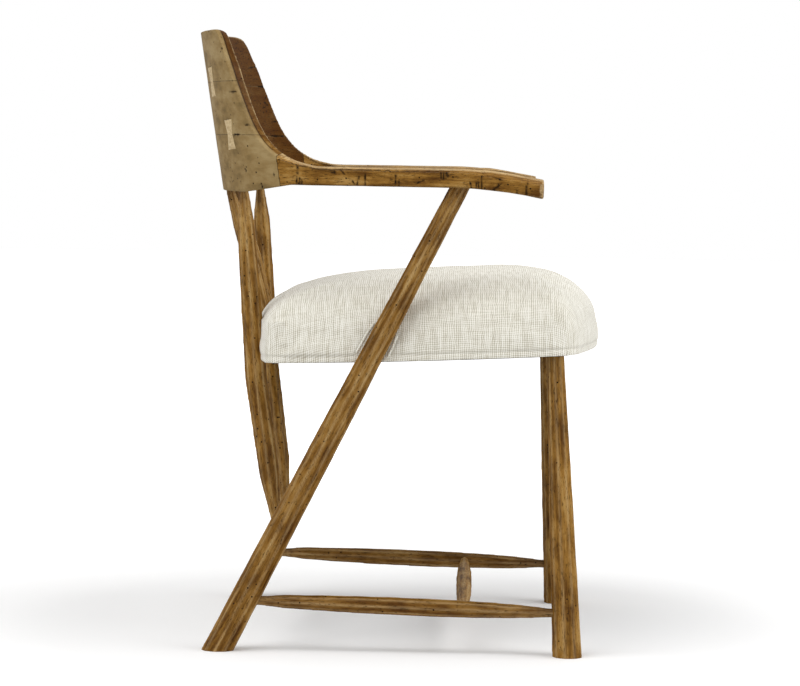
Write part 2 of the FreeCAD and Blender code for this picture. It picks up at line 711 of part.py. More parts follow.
def headed(name, start, direction, dia, length, head_dia, head_height, clearance):
    """Screw or bolt that enters at a point, its head before that point; or the room for it."""
    direction = Vector(direction).normalize()
    wider = f" + {2 * clearance} * sizes.fit_clearance"
    longer = f" + {clearance} * sizes.fit_clearance"
    shank = rod(f"{name}_shank", start, direction, dia + wider, length + longer)
    head = rod(f"{name}_head", start, direction * -1, head_dia + wider, head_height + longer)
    return combine("Part::Fuse", name, head, [shank])


# Back boards, keys and dowels.
wing_cuts = [wing_cutter(side) for _, side in SIDES]
under_cut = underside_cutter()
lean_cos = "cos(sizes.back_lean)"
SEAMS = (("high", size("back_high_seam_height")), ("low", size("back_low_seam_height")))
key_turns = {
    "high": math.asin(size("key_high_half") / (plan.arc_radius + plan.half)),
    "low": math.asin(size("key_low_half") / (plan.arc_radius + plan.half)),
}
keys = []
dowels = []
key_pockets = {"high": [], "low": []}
dowel_holes = {"high": [], "low": []}
for seam, height in SEAMS:
    for hand, side in SIDES:
        keys.append(key(f"key_{seam}_{hand}", key_turns[seam], height, side, 0))
        key_pockets[seam].append(key(f"key_pocket_{seam}_{hand}", key_turns[seam], height, side, 1))
        for spot in ("inner", "outer"):
            half = size(f"dowel_{spot}_half")
            name = f"{seam}_{spot}_{hand}"
            dowels.append(board_dowel(f"dowel_{name}", half, height, side, 0))
            dowel_holes[seam].append(board_dowel(f"dowel_hole_{name}", half, height, side, 1))
arm_dowels = []
arm_dowel_holes = {-1: [], 1: []}
for hand, side in SIDES:
    for offset in (-1, 1):
        spot = "low" if offset < 0 else "high"
        arm_dowels.append(arm_dowel(f"arm_dowel_{spot}_{hand}", offset, side, 0))
        arm_dowel_holes[side].append(arm_dowel(f"arm_dowel_hole_{spot}_{hand}", offset, side, 1))

back_mortises = []
for hand, side in SIDES:
    top, bow, _ = post_points(side)
    run = top - bow
    depth = "sizes.post_tenon_length + sizes.overrun + 2 * sizes.fit_clearance"
    begin = top - Vector(run).normalize() * size("overrun")
    back_mortises.append(mortise(f"post_mortise_{hand}", begin, run, "sizes.post_end_dia", depth))
    top, foot = spindle_points(side)
    run = top - foot
    begin = top - Vector(run).normalize() * size("overrun")
    back_mortises.append(mortise(f"spindle_mortise_{hand}", begin, run, "sizes.spindle_end_dia", depth))

BOARDS = (
    ("upper", "back_high_seam_height", "back_top_height", ["high"]),
    ("middle", "back_low_seam_height", "back_high_seam_height", ["low", "high"]),
    ("lower", "back_bottom_height", "back_low_seam_height", ["low"]),
)
for name, low, high, seams in BOARDS:
    rise = size(low) - plan.lift
    place = FreeCAD.Placement(plan.lean_direction() * rise, FreeCAD.Rotation()).multiply(at_back)
    length = f"(sizes.{high} - sizes.{low}) / {lean_cos}"
    board = extrusion(f"{name}_board", back_outline(), place, plan.lean_direction(), length)
    tools = list(wing_cuts)
    for seam in seams:
        tools += key_pockets[seam] + dowel_holes[seam]
    if name == "lower":
        tools += [under_cut] + back_mortises + arm_dowel_holes[-1] + arm_dowel_holes[1]
    piece(combine("Part::Cut", f"{name}_board", board, tools), f"back_board_{name}")
group("butterfly_keys", keys)
group("board_dowels", dowels)
group("arm_dowels", arm_dowels)

# Arms with the raking legs' tenons in their undersides.
for number, (hand, side) in enumerate(SIDES):
    length = f"sizes.arm_stock_height / {lean_cos}"
    arm = extrusion(f"arm_{hand}", arm_outline(side), at_back, plan.lean_direction(), length)
    foot, top = rear_axis(side)
    run = top - foot
    depth = f"sizes.overrun + (sizes.rear_leg_tenon_length + 2 * sizes.fit_clearance) * {run.Length / run.z}"
    begin = top - Vector(run).normalize() * size("overrun")
    socket = mortise(f"arm_mortise_{hand}", begin, run, "sizes.rear_leg_tenon_dia", depth)
    tools = [wing_cuts[number], under_cut, socket] + arm_dowel_holes[side]
    piece(combine("Part::Cut", f"arm_{hand}", arm, tools), f"arm_{hand}")

# Stretchers; their ends reach the axes of the pieces that hold them.
stretcher_dias = ("sizes.stretcher_end_dia", "sizes.side_stretcher_mid_dia")
side_bars = {}
side_mortises = {}
for hand, side in SIDES:
    rear, front = side_stretcher_axis(side)
    side_bars[side] = swelling(
        f"side_stretcher_{hand}", rear, front, *stretcher_dias, "stretcher_tenon_length")
    reach = "sizes.rear_leg_foot_dia"
    side_mortises[side] = [
        mortise(f"stretcher_mortise_rear_{hand}", rear, front - rear, "sizes.stretcher_end_dia", reach),
        mortise(f"stretcher_mortise_front_{hand}", front, rear - front, "sizes.stretcher_end_dia", reach),
    ]
left_end, right_end = centre_stretcher_axis()
centre_bar = swelling(
    "centre_stretcher", left_end, right_end, "sizes.stretcher_end_dia", "sizes.centre_stretcher_mid_dia",
    "centre_tenon_length")
centre_ends = {-1: (left_end, right_end), 1: (right_end, left_end)}
for hand, side in SIDES:
    start, other = centre_ends[side]
    hole = mortise(
        f"centre_mortise_{hand}", start, other - start, "sizes.stretcher_end_dia", "sizes.side_stretcher_mid_dia")
    piece(combine("Part::Cut", f"side_stretcher_{hand}", side_bars[side], [hole]), f"side_stretcher_{hand}")
piece(centre_bar, "centre_stretcher")

left_end, right_end = rear_stretcher_axis()
rear_bar = swelling(
    "rear_stretcher", left_end, right_end, "sizes.rear_stretcher_end_dia", "sizes.rear_stretcher_mid_dia",
    "stretcher_tenon_length")
post_sockets = []
for hand, side in SIDES:
    _, bow, foot = post_points(side)
    post_sockets.append(
        mortise(f"post_socket_{hand}", foot, bow - foot, "sizes.post_end_dia", "sizes.rear_stretcher_mid_dia"))
piece(combine("Part::Cut", "rear_stretcher", rear_bar, post_sockets), "rear_stretcher")
rear_ends = {-1: (left_end, right_end), 1: (right_end, left_end)}

# Seat rails with the holes for legs, spindles, bolts and screws.
RAIL_INSETS = (size("rail_rear_setback"), size("rail_setback"), size("rail_setback"))
INNER_INSETS = tuple(inset + size("rail_thickness") for inset in RAIL_INSETS)
RAIL_TOP = "sizes.rail_height"
BIG = size("seat_front_half") + size("overrun")
rail_top = size("rail_height")


def rail_ring(name):
    """Frame of the seat before it is parted into rails."""
    outer = seat_block(f"{name}_outer", RAIL_INSETS, "0", RAIL_TOP)
    inner = seat_block(f"{name}_inner", INNER_INSETS, "-sizes.overrun", f"{RAIL_TOP} + sizes.overrun")
    return combine("Part::Cut", f"{name}_ring", outer, [inner])


def rail_boxes(name):
    """Boxes that hold the front rail and the rear rail."""
    half = {"front": size("rail_front_half"), "rear": size("rail_rear_half")}
    front = seat_slab(
        f"{name}_front_box", Vector(-half["front"], -BIG, -rail_top), Vector(half["front"], 0, 2 * rail_top))
    rear = seat_slab(
        f"{name}_rear_box", Vector(-half["rear"], 0, -rail_top), Vector(half["rear"], BIG, 2 * rail_top))
    return front, rear


post_envelopes = [post_turning(f"post_envelope_{hand}", side, "sizes.soft_clearance") for hand, side in SIDES]
leg_envelopes = [rear_leg_turning(f"leg_envelope_{hand}", side, "sizes.soft_clearance") for hand, side in SIDES]
spindle_sockets = []
for hand, side in SIDES:
    top, foot = spindle_points(side)
    run = foot - top
    begin = foot - Vector(run).normalize() * size("overrun")
    depth = "sizes.overrun + sizes.spindle_tenon_length + 2 * sizes.fit_clearance"
    spindle_sockets.append(mortise(f"spindle_socket_{hand}", begin, run, "sizes.spindle_end_dia", depth))
leg_sockets = []
for hand, side in SIDES:
    foot, top = front_axis(side)
    run = top - foot
    begin = top - Vector(run).normalize() * size("overrun")
    depth = "sizes.overrun + sizes.front_leg_tenon_length + 2 * sizes.fit_clearance"
    leg_sockets.append(mortise(f"leg_socket_{hand}", begin, run, "sizes.front_leg_tenon_dia", depth))

# Bolts from inside the side rails into the raking legs, and screws from the rear rail into the posts.
bolts = []
bolt_holes = {}
post_screws = []
post_screw_holes = {}
for hand, side in SIDES:
    foot, top = rear_axis(side)
    aim = at_height(foot, top, size("seat_plane_height") + rail_top * BOLT_HEIGHT_SHARE)
    inner = Part.Wire([c.toShape() for c in seat_outline(*INNER_INSETS)])
    line = Part.makeLine(Vector(0, aim.y, 0), Vector(side * BIG, aim.y, 0))
    inner_x = inner.section(line).Vertexes[0].Point.x
    begin = Vector(inner_x, aim.y, aim.z)
    reach = abs(aim.x - inner_x)
    length = f"{reach} - sizes.rear_leg_mid_dia / 2 + sizes.bolt_grip"
    arguments = (begin, Vector(side, 0, 0), "sizes.bolt_dia", length,
                 "sizes.bolt_head_dia", "sizes.bolt_head_height")
    bolts.append(headed(f"leg_bolt_{hand}", *arguments, 0))
    bolt_holes[side] = headed(f"leg_bolt_hole_{hand}", *arguments, 1)
    top, bow, foot = post_points(side)
    aim = at_height(bow, top, size("seat_plane_height") + rail_top * POST_SCREW_HEIGHT_SHARE)
    line = Part.makeLine(Vector(aim.x, 0, 0), Vector(aim.x, BIG, 0))
    inner_y = inner.section(line).Vertexes[0].Point.y
    begin = Vector(aim.x, inner_y, aim.z)
    arguments = (begin, Vector(0, 1, 0), "sizes.screw_dia", "sizes.screw_length",
                 "sizes.screw_head_dia", "sizes.screw_head_height")
    post_screws.append(headed(f"post_screw_{hand}", *arguments, 0))
    post_screw_holes[side] = headed(f"post_screw_hole_{hand}", *arguments, 1)
group("leg_bolts", bolts)
group("post_screws", post_screws)

# Corner blocks inside the rails, each held by two screws.
blocks = []
block_screws = []
block_holes = []
CLEAR_INSETS = tuple(inset + size("fit_clearance") for inset in INNER_INSETS)
corner_ys = {"front": -size("seat_front_corner_reach"), "rear": size("seat_rear_corner_reach")}
corner_xs = {"front": size("seat_front_half"), "rear": size("seat_rear_half")}
for end in ("front", "rear"):
    inward = 1 if end == "front" else -1
    side_inset = size("rail_setback") + size("rail_thickness")
    end_inset = side_inset if end == "front" else size("rail_rear_setback") + size("rail_thickness")
    leg = size("block_leg")
    for hand, side in SIDES:
        corner = Vector(side * (corner_xs[end] - side_inset), corner_ys[end] + inward * end_inset, 0)
        far = size("overrun")
        points = [
            corner + Vector(-side * leg, -inward * far, 0),
            corner + Vector(-side * leg, 0, 0),
            corner + Vector(0, inward * leg, 0),
            corner + Vector(side * far, inward * leg, 0),
            corner + Vector(side * far, -inward * far, 0),
        ]
        name = f"block_{end}_{hand}"
        stock = extrusion(f"{name}_stock", closed_lines(points), seat_place, seat_up, RAIL_TOP)
        clear = seat_block(f"{name}_room", CLEAR_INSETS, "0", RAIL_TOP)
        block = combine("Part::Common", name, stock, [clear])
        diagonal = Vector(side, -inward, 0).normalize()
        face = corner + Vector(-side * leg, inward * leg, 0) / 2
        holes = []
        for number, share in enumerate(BLOCK_SCREW_SHARES):
            spot = face + UP * (rail_top * share)
            begin = seat_place.multVec(spot)
            aim = seat_place.Rotation.multVec(diagonal)
            length = "sizes.block_leg / sqrt(2) - sizes.rail_thickness / 4"
            arguments = (begin, aim, "sizes.screw_dia", length,
                         "sizes.screw_head_dia", "sizes.screw_head_height")
            block_screws.append(headed(f"{name}_screw_{number}", *arguments, 0))
            holes.append(headed(f"{name}_screw_hole_{number}", *arguments, 1))
        rooms = holes + [post_screw_holes[side]] if end == "rear" else holes
        blocks.append(combine("Part::Cut", f"{name}_drilled", block, rooms))
        block_holes += holes
group("corner_blocks", blocks)
group("corner_block_screws", block_screws)

front_box, rear_box = rail_boxes("rail")
front_rail = combine("Part::Common", "rail_front", rail_ring("rail_front"), [front_box])
piece(combine("Part::Cut", "rail_front", front_rail, block_holes + leg_sockets), "seat_rail_front")
rear_rail = combine("Part::Common", "rail_rear", rail_ring("rail_rear"), [rear_box])
holes = block_holes + spindle_sockets + post_envelopes + list(post_screw_holes.values())
piece(combine("Part::Cut", "rail_rear", rear_rail, holes), "seat_rail_rear")
for hand, side in SIDES:
    name = f"rail_{hand}"
    far = Vector(side * BIG, BIG, 2 * rail_top)
    low = Vector(min(0, far.x), -BIG, -rail_top)
    high = Vector(max(0, far.x), BIG, 2 * rail_top)
    half = combine("Part::Common", name, rail_ring(name), [seat_slab(f"{name}_half", low, high)])
    holes = [front_box, rear_box] + block_holes + leg_sockets + leg_envelopes + [bolt_holes[side]]
    piece(combine("Part::Cut", name, half, holes), f"seat_rail_{hand}")

# Deck, cushion, cover and dust cover.
spindle_rooms = []
for hand, side in SIDES:
    top, foot = spindle_points(side)
    begin = foot - (top - foot).normalize() * size("spindle_tenon_length")
    wide = "sizes.spindle_mid_dia + 2 * sizes.soft_clearance"
    spindle_rooms.append(rod(f"spindle_room_{hand}", begin, top - foot, wide, "sizes.overrun * 3"))
deck = seat_block("deck", RAIL_INSETS, RAIL_TOP, f"{RAIL_TOP} + sizes.deck_thickness")
piece(combine("Part::Cut", "deck", deck, post_envelopes + leg_envelopes + spindle_rooms), "seat_deck")

soft = size("soft_clearance")
cloth = size("cover_thickness")
ROOM_INSETS = tuple(inset - soft for inset in RAIL_INSETS)
room = seat_block("frame_room", ROOM_INSETS, "-sizes.overrun",
                  f"{RAIL_TOP} + sizes.deck_thickness + sizes.soft_clearance")
soft_cuts = leg_envelopes + post_envelopes + spindle_rooms
soft_cuts += list(bolt_holes.values()) + list(post_screw_holes.values())
foam = cushion_loft("foam_loft", cloth + soft)
piece(combine("Part::Cut", "foam", foam, [room] + soft_cuts), "seat_foam")
outer = cushion_loft("cover_loft", 0)
inner = cushion_loft("cover_room", cloth)
piece(combine("Part::Cut", "cover", outer, [inner] + soft_cuts), "seat_cover")

DUST_INSETS = (size("dust_cover_setback"),) * 3
gap = "sizes.fit_clearance"
dust = seat_block("dust_cover", DUST_INSETS, f"-({gap} + sizes.dust_cover_thickness)", f"-{gap}")
front_turnings = [front_leg_turning(f"front_leg_envelope_{hand}", side) for hand, side in SIDES]
piece(combine("Part::Cut", "dust_cover", dust, leg_envelopes + post_envelopes + front_turnings), "dust_cover")

# Legs, posts and spindles.
floor = add("Part::Box", "below_floor", Length="2 * (sizes.front_foot_half + sizes.overrun * 2)",
            Width="2 * (sizes.front_foot_reach + sizes.overrun * 2)", Height="sizes.overrun * 2")
far = 2 * size("overrun")
floor.Placement.Base = Vector(-size("front_foot_half") - far, -size("front_foot_reach") - far, -far)
above_arm = add("Part::Box", "above_arm", Length="2 * (sizes.front_foot_half + sizes.overrun * 3)",
                Width="2 * (sizes.front_foot_reach + sizes.overrun)", Height="sizes.overrun * 2")
above_arm.Placement.Base = Vector(
    -size("front_foot_half") - 3 * size("overrun"), -size("front_foot_reach") - size("overrun"),
    size("arm_underside_height"))
above_seat = seat_slab("above_seat", Vector(-BIG, -BIG, 0), Vector(BIG, BIG, far))

for hand, side in SIDES:
    foot, top = rear_axis(side)
    run = top - foot
    leg = combine("Part::Cut", f"rear_leg_{hand}", rear_leg_turning(f"rear_leg_{hand}", side), [floor, above_arm])
    slant = run.Length / run.z
    length = f"sizes.rear_leg_tenon_length * {slant} + sizes.overrun"
    begin = top - Vector(run).normalize() * size("overrun")
    tenon = rod(f"rear_leg_tenon_{hand}", begin, run, "sizes.rear_leg_tenon_dia", length)
    leg = combine("Part::Fuse", f"rear_leg_{hand}", leg, [tenon])
    start, other = rear_ends[side]
    socket = mortise(
        f"rear_stretcher_mortise_{hand}", start, other - start, "sizes.rear_stretcher_end_dia",
        "sizes.rear_leg_foot_dia")
    cuts = [side_mortises[side][0], socket, bolt_holes[side]]
    piece(combine("Part::Cut", f"rear_leg_{hand}_bored", leg, cuts), f"rear_leg_{hand}")

    foot, top = front_axis(side)
    run = top - foot
    leg = combine("Part::Cut", f"front_leg_{hand}", front_leg_turning(f"front_leg_{hand}", side), [floor, above_seat])
    begin = top - Vector(run).normalize() * size("overrun")
    tenon = rod(f"front_leg_tenon_{hand}", begin, run, "sizes.front_leg_tenon_dia",
                "sizes.front_leg_tenon_length + sizes.overrun")
    leg = combine("Part::Fuse", f"front_leg_{hand}", leg, [tenon])
    piece(combine("Part::Cut", f"front_leg_{hand}_bored", leg, [side_mortises[side][1]]), f"front_leg_{hand}")

    post = post_turning(f"back_post_{hand}", side)
    piece(combine("Part::Cut", f"back_post_{hand}", post, [post_screw_holes[side]]), f"back_post_{hand}")

    top, foot = spindle_points(side)
    direction = (top - foot).normalize()
    end, middle = "sizes.spindle_end_dia", "sizes.spindle_mid_dia"
    stations = [(foot - direction * size("spindle_tenon_length"), end), (foot, end)]
    for share, swell in zip(SPINDLE_SHARES, SPINDLE_SWELL_SHARES):
        stations.append((between(foot, top, share), f"{end} + ({middle} - {end}) * {swell}"))
    stations += [(top, end), (top + direction * size("post_tenon_length"), end)]
    piece(turned(f"back_spindle_{hand}", stations, direction), f"back_spindle_{hand}")

doc.recompute()

for made in doc.Objects:
    if "Invalid" in made.State or "Error" in made.State:
        raise RuntimeError(f"{made.Name} ({made.Label}) did not build")
os.makedirs("parts", exist_ok=True)
for made in PIECES:
    if made.Shape.isNull() or not made.Shape.isValid():
        raise RuntimeError(f"{made.Label} has no valid solid")
    made.Shape.exportStep(f"parts/{made.Label}.step")
    print(f"{made.Label}: {len(made.Shape.Solids)} solid(s), {made.Shape.Volume / 1000:.1f} cm3")
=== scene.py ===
"""Looks of a driftwood dining armchair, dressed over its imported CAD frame.

Metres, +Z up, the chair faces -Y and stands on the floor round the origin. Sizes are written in
millimetres and turned to metres by MM.
"""

import json
import logging
import math
from collections.abc import Iterator
from contextlib import contextmanager
from dataclasses import dataclass, field
from enum import Enum

import bpy
import numpy as np
from mathutils import Matrix, Vector

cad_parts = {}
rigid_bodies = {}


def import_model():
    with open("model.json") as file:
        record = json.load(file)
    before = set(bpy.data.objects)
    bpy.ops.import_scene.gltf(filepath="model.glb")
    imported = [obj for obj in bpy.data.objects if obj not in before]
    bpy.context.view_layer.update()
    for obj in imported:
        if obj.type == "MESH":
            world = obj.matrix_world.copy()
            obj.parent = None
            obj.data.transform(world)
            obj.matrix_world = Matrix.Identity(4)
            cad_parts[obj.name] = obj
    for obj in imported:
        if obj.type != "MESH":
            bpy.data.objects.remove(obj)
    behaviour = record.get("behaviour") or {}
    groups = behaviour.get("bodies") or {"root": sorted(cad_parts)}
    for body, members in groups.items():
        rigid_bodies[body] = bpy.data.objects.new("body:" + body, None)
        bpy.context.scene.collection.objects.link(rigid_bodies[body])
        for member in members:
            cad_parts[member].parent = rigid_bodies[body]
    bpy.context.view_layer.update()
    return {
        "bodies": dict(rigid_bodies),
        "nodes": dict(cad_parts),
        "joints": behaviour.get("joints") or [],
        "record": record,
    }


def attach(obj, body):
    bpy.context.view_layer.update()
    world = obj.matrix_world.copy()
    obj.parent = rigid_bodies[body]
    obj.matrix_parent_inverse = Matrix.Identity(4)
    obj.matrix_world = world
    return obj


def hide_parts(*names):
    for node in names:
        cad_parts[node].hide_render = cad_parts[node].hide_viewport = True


MM = 0.001
TINY = 1e-9
ROOT = "root"
log = logging.getLogger("armchair")


class Side(Enum):
    """The two hands of the chair, with the sign of X."""

    LEFT = -1
    RIGHT = 1

    @property
    def word(self) -> str:
        """Lower-case name, as the CAD nodes use it."""
        return self.name.lower()


class Ring(Enum):
    """Plane that the rings of a turned bar lie in, named by its normal, with the turn into it."""

    X = (0.0, math.pi / 2, 0.0)
    Y = (math.pi / 2, 0.0, 0.0)
    Z = (0.0, 0.0, 0.0)

    @property
    def normal(self) -> int:
        """Number of the axis square to the ring."""
        return "XYZ".index(self.name)

    @property
    def plane(self) -> tuple[int, int]:
        """Numbers of the two axes in the ring; its first corner lies on the second one."""
        return {"X": (2, 1), "Y": (0, 2), "Z": (0, 1)}[self.name]


def only(piece: bpy.types.Object) -> None:
    """Deselects everything, then selects one object and makes it active.

    Args:
        piece: The object to work on.
    """
    if bpy.context.object and bpy.context.object.mode != "OBJECT":
        bpy.ops.object.mode_set(mode="OBJECT")
    bpy.ops.object.select_all(action="DESELECT")
    piece.select_set(True)
    bpy.context.view_layer.objects.active = piece


@contextmanager
def editing(piece: bpy.types.Object) -> Iterator[None]:
    """Opens a mesh in edit mode with everything selected, and closes it again.

    Args:
        piece: The mesh object.

    Returns:
        A context for operators on the mesh.
    """
    only(piece)
    bpy.ops.object.mode_set(mode="EDIT")
    bpy.ops.mesh.select_all(action="SELECT")
    yield
    bpy.ops.object.mode_set(mode="OBJECT")


def active_named(name: str) -> bpy.types.Object:
    """Names the active object and its mesh.

    Args:
        name: The new name.

    Returns:
        The active object.
    """
    piece = bpy.context.object
    piece.name = name
    piece.data.name = name
    return piece


def modify(piece: bpy.types.Object, kind: str, **settings) -> None:
    """Adds a modifier and applies it at once.

    Args:
        piece: The object to change.
        kind: Blender's modifier type.
        settings: Values set on the modifier.
    """
    only(piece)
    step = piece.modifiers.new(kind.lower(), kind)
    for name, value in settings.items():
        setattr(step, name, value)
    bpy.ops.object.modifier_apply(modifier=step.name)


def places(piece: bpy.types.Object, what: str = "co") -> np.ndarray:
    """Reads a vector per vertex of a mesh.

    Args:
        piece: The mesh object.
        what: Vertex property, the place in metres or the normal.

    Returns:
        Rows of x, y, z.
    """
    flat = np.empty(len(piece.data.vertices) * 3)
    piece.data.vertices.foreach_get(what, flat)
    return flat.reshape(-1, 3)


def put(piece: bpy.types.Object, rows: np.ndarray) -> None:
    """Writes vertex places back to a mesh."""
    piece.data.vertices.foreach_set("co", rows.reshape(-1))
    piece.data.update()


def mark(piece: bpy.types.Object, name: str, rows: np.ndarray) -> None:
    """Stores a vector or a number per vertex that a finish reads.

    Args:
        piece: The mesh object.
        name: Attribute name.
        rows: One row of three numbers, or one number, per vertex.
    """
    vector = rows.ndim == 2
    kind = "FLOAT_VECTOR" if vector else "FLOAT"
    layer = piece.data.attributes.new(name, kind, "POINT")
    layer.data.foreach_set("vector" if vector else "value", rows.astype(float).reshape(-1))


def mesh_of(name: str, rows: np.ndarray, faces: list[tuple]) -> bpy.types.Object:
    """Makes an object of points and faces.

    Args:
        name: Name of the object and its mesh.
        rows: Points in metres.
        faces: Numbers of the points of each face.

    Returns:
        The object.
    """
    mesh = bpy.data.meshes.new(name)
    mesh.from_pydata(rows.tolist(), [], faces)
    piece = bpy.data.objects.new(name, mesh)
    bpy.context.collection.objects.link(piece)
    return piece


def ring_faces(count: int, low: int, high: int) -> list[tuple]:
    """Faces between two rings of points, each given by the number of its first point."""
    pairs = [(i, (i + 1) % count) for i in range(count)]
    return [(low + i, low + j, high + j, high + i) for i, j in pairs]


def face_out(piece: bpy.types.Object) -> None:
    """Turns every face of a closed mesh outwards."""
    with editing(piece):
        bpy.ops.mesh.normals_make_consistent(inside=False)


def ramp(value: np.ndarray, start: float, run: float) -> np.ndarray:
    """Rises from 0 at a start to 1 after a run."""
    return np.clip((value - start) / run, 0, 1)


def bell(gap: np.ndarray, width: float) -> np.ndarray:
    """Falls softly from 1 at no gap to about a third at a width."""
    return np.exp(-(gap / width) ** 2)


def cloud(name: str, grain_mm: float, depth: int = 2) -> bpy.types.Texture:
    """Procedural cloud texture for small dents.

    Args:
        name: Texture name.
        grain_mm: Size of the dents.
        depth: Octaves of detail.

    Returns:
        The texture.
    """
    texture = bpy.data.textures.new(name, "CLOUDS")
    texture.noise_scale = grain_mm * MM
    texture.noise_depth = depth
    return texture


def dress(piece: bpy.types.Object, material: bpy.types.Material, slot: str, *nodes: str) -> None:
    """Gives a finished piece its material and ties it to the CAD frame.

    Args:
        piece: The finished object.
        material: Its finish.
        slot: The record's material slot; not used.
        nodes: CAD nodes that the piece stands for.
    """
    piece.data.materials.clear()
    piece.data.materials.append(material)
    for face in piece.data.polygons:
        face.use_smooth = True
    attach(piece, ROOT)
    if nodes:
        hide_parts(*nodes)
    log.info("%s: %d faces", piece.name, len(piece.data.polygons))


# Finishes.
def linear(text: str) -> tuple[float, float, float, float]:
    """Turns an sRGB hex colour to linear RGBA."""
    parts = [int(text[i:i + 2], 16) / 255 for i in (1, 3, 5)]
    return (*[p / 12.92 if p <= 0.04045 else ((p + 0.055) / 1.055) ** 2.4 for p in parts], 1.0)


def per(mm: float) -> float:
    """Pattern repeats per metre for a real size in millimetres."""
    return 1 / (mm * MM)


def add(
        tree: bpy.types.NodeTree, kind: str, links: dict | None = None, stops: list | None = None,
        **settings) -> bpy.types.Node:
    """Adds one node with its settings, values and links.

    Args:
        tree: The material's node tree.
        kind: Node type.
        links: Socket name or number to a value or to another node's output.
        stops: Places and hex colours of a colour ramp.
        settings: Values set on the node itself.

    Returns:
        The node.
    """
    node = tree.nodes.new(kind)
    for name, value in settings.items():
        setattr(node, name, value)
    for socket, value in (links or {}).items():
        if isinstance(value, bpy.types.NodeSocket):
            tree.links.new(value, node.inputs[socket])
        else:
            node.inputs[socket].default_value = value
    if stops:
        elements = node.color_ramp.elements
        while len(elements) < len(stops):
            elements.new(0.5)
        for element, (place, colour) in zip(elements, stops):
            element.position = place
            element.color = linear(colour)
    return node


def fresh(name: str, **sockets: float) -> tuple[bpy.types.Material, bpy.types.NodeTree, bpy.types.Node]:
    """Starts a material with a principled shader.

    Args:
        name: Material name.
        sockets: Constant values of the shader, words joined by underscores.

    Returns:
        The material, its node tree and the shader node.
    """
    material = bpy.data.materials.new(name)
    material.use_nodes = True
    tree = material.node_tree
    shader = tree.nodes["Principled BSDF"]
    for socket, value in sockets.items():
        shader.inputs[socket.replace("_", " ")].default_value = value
    return material, tree, shader


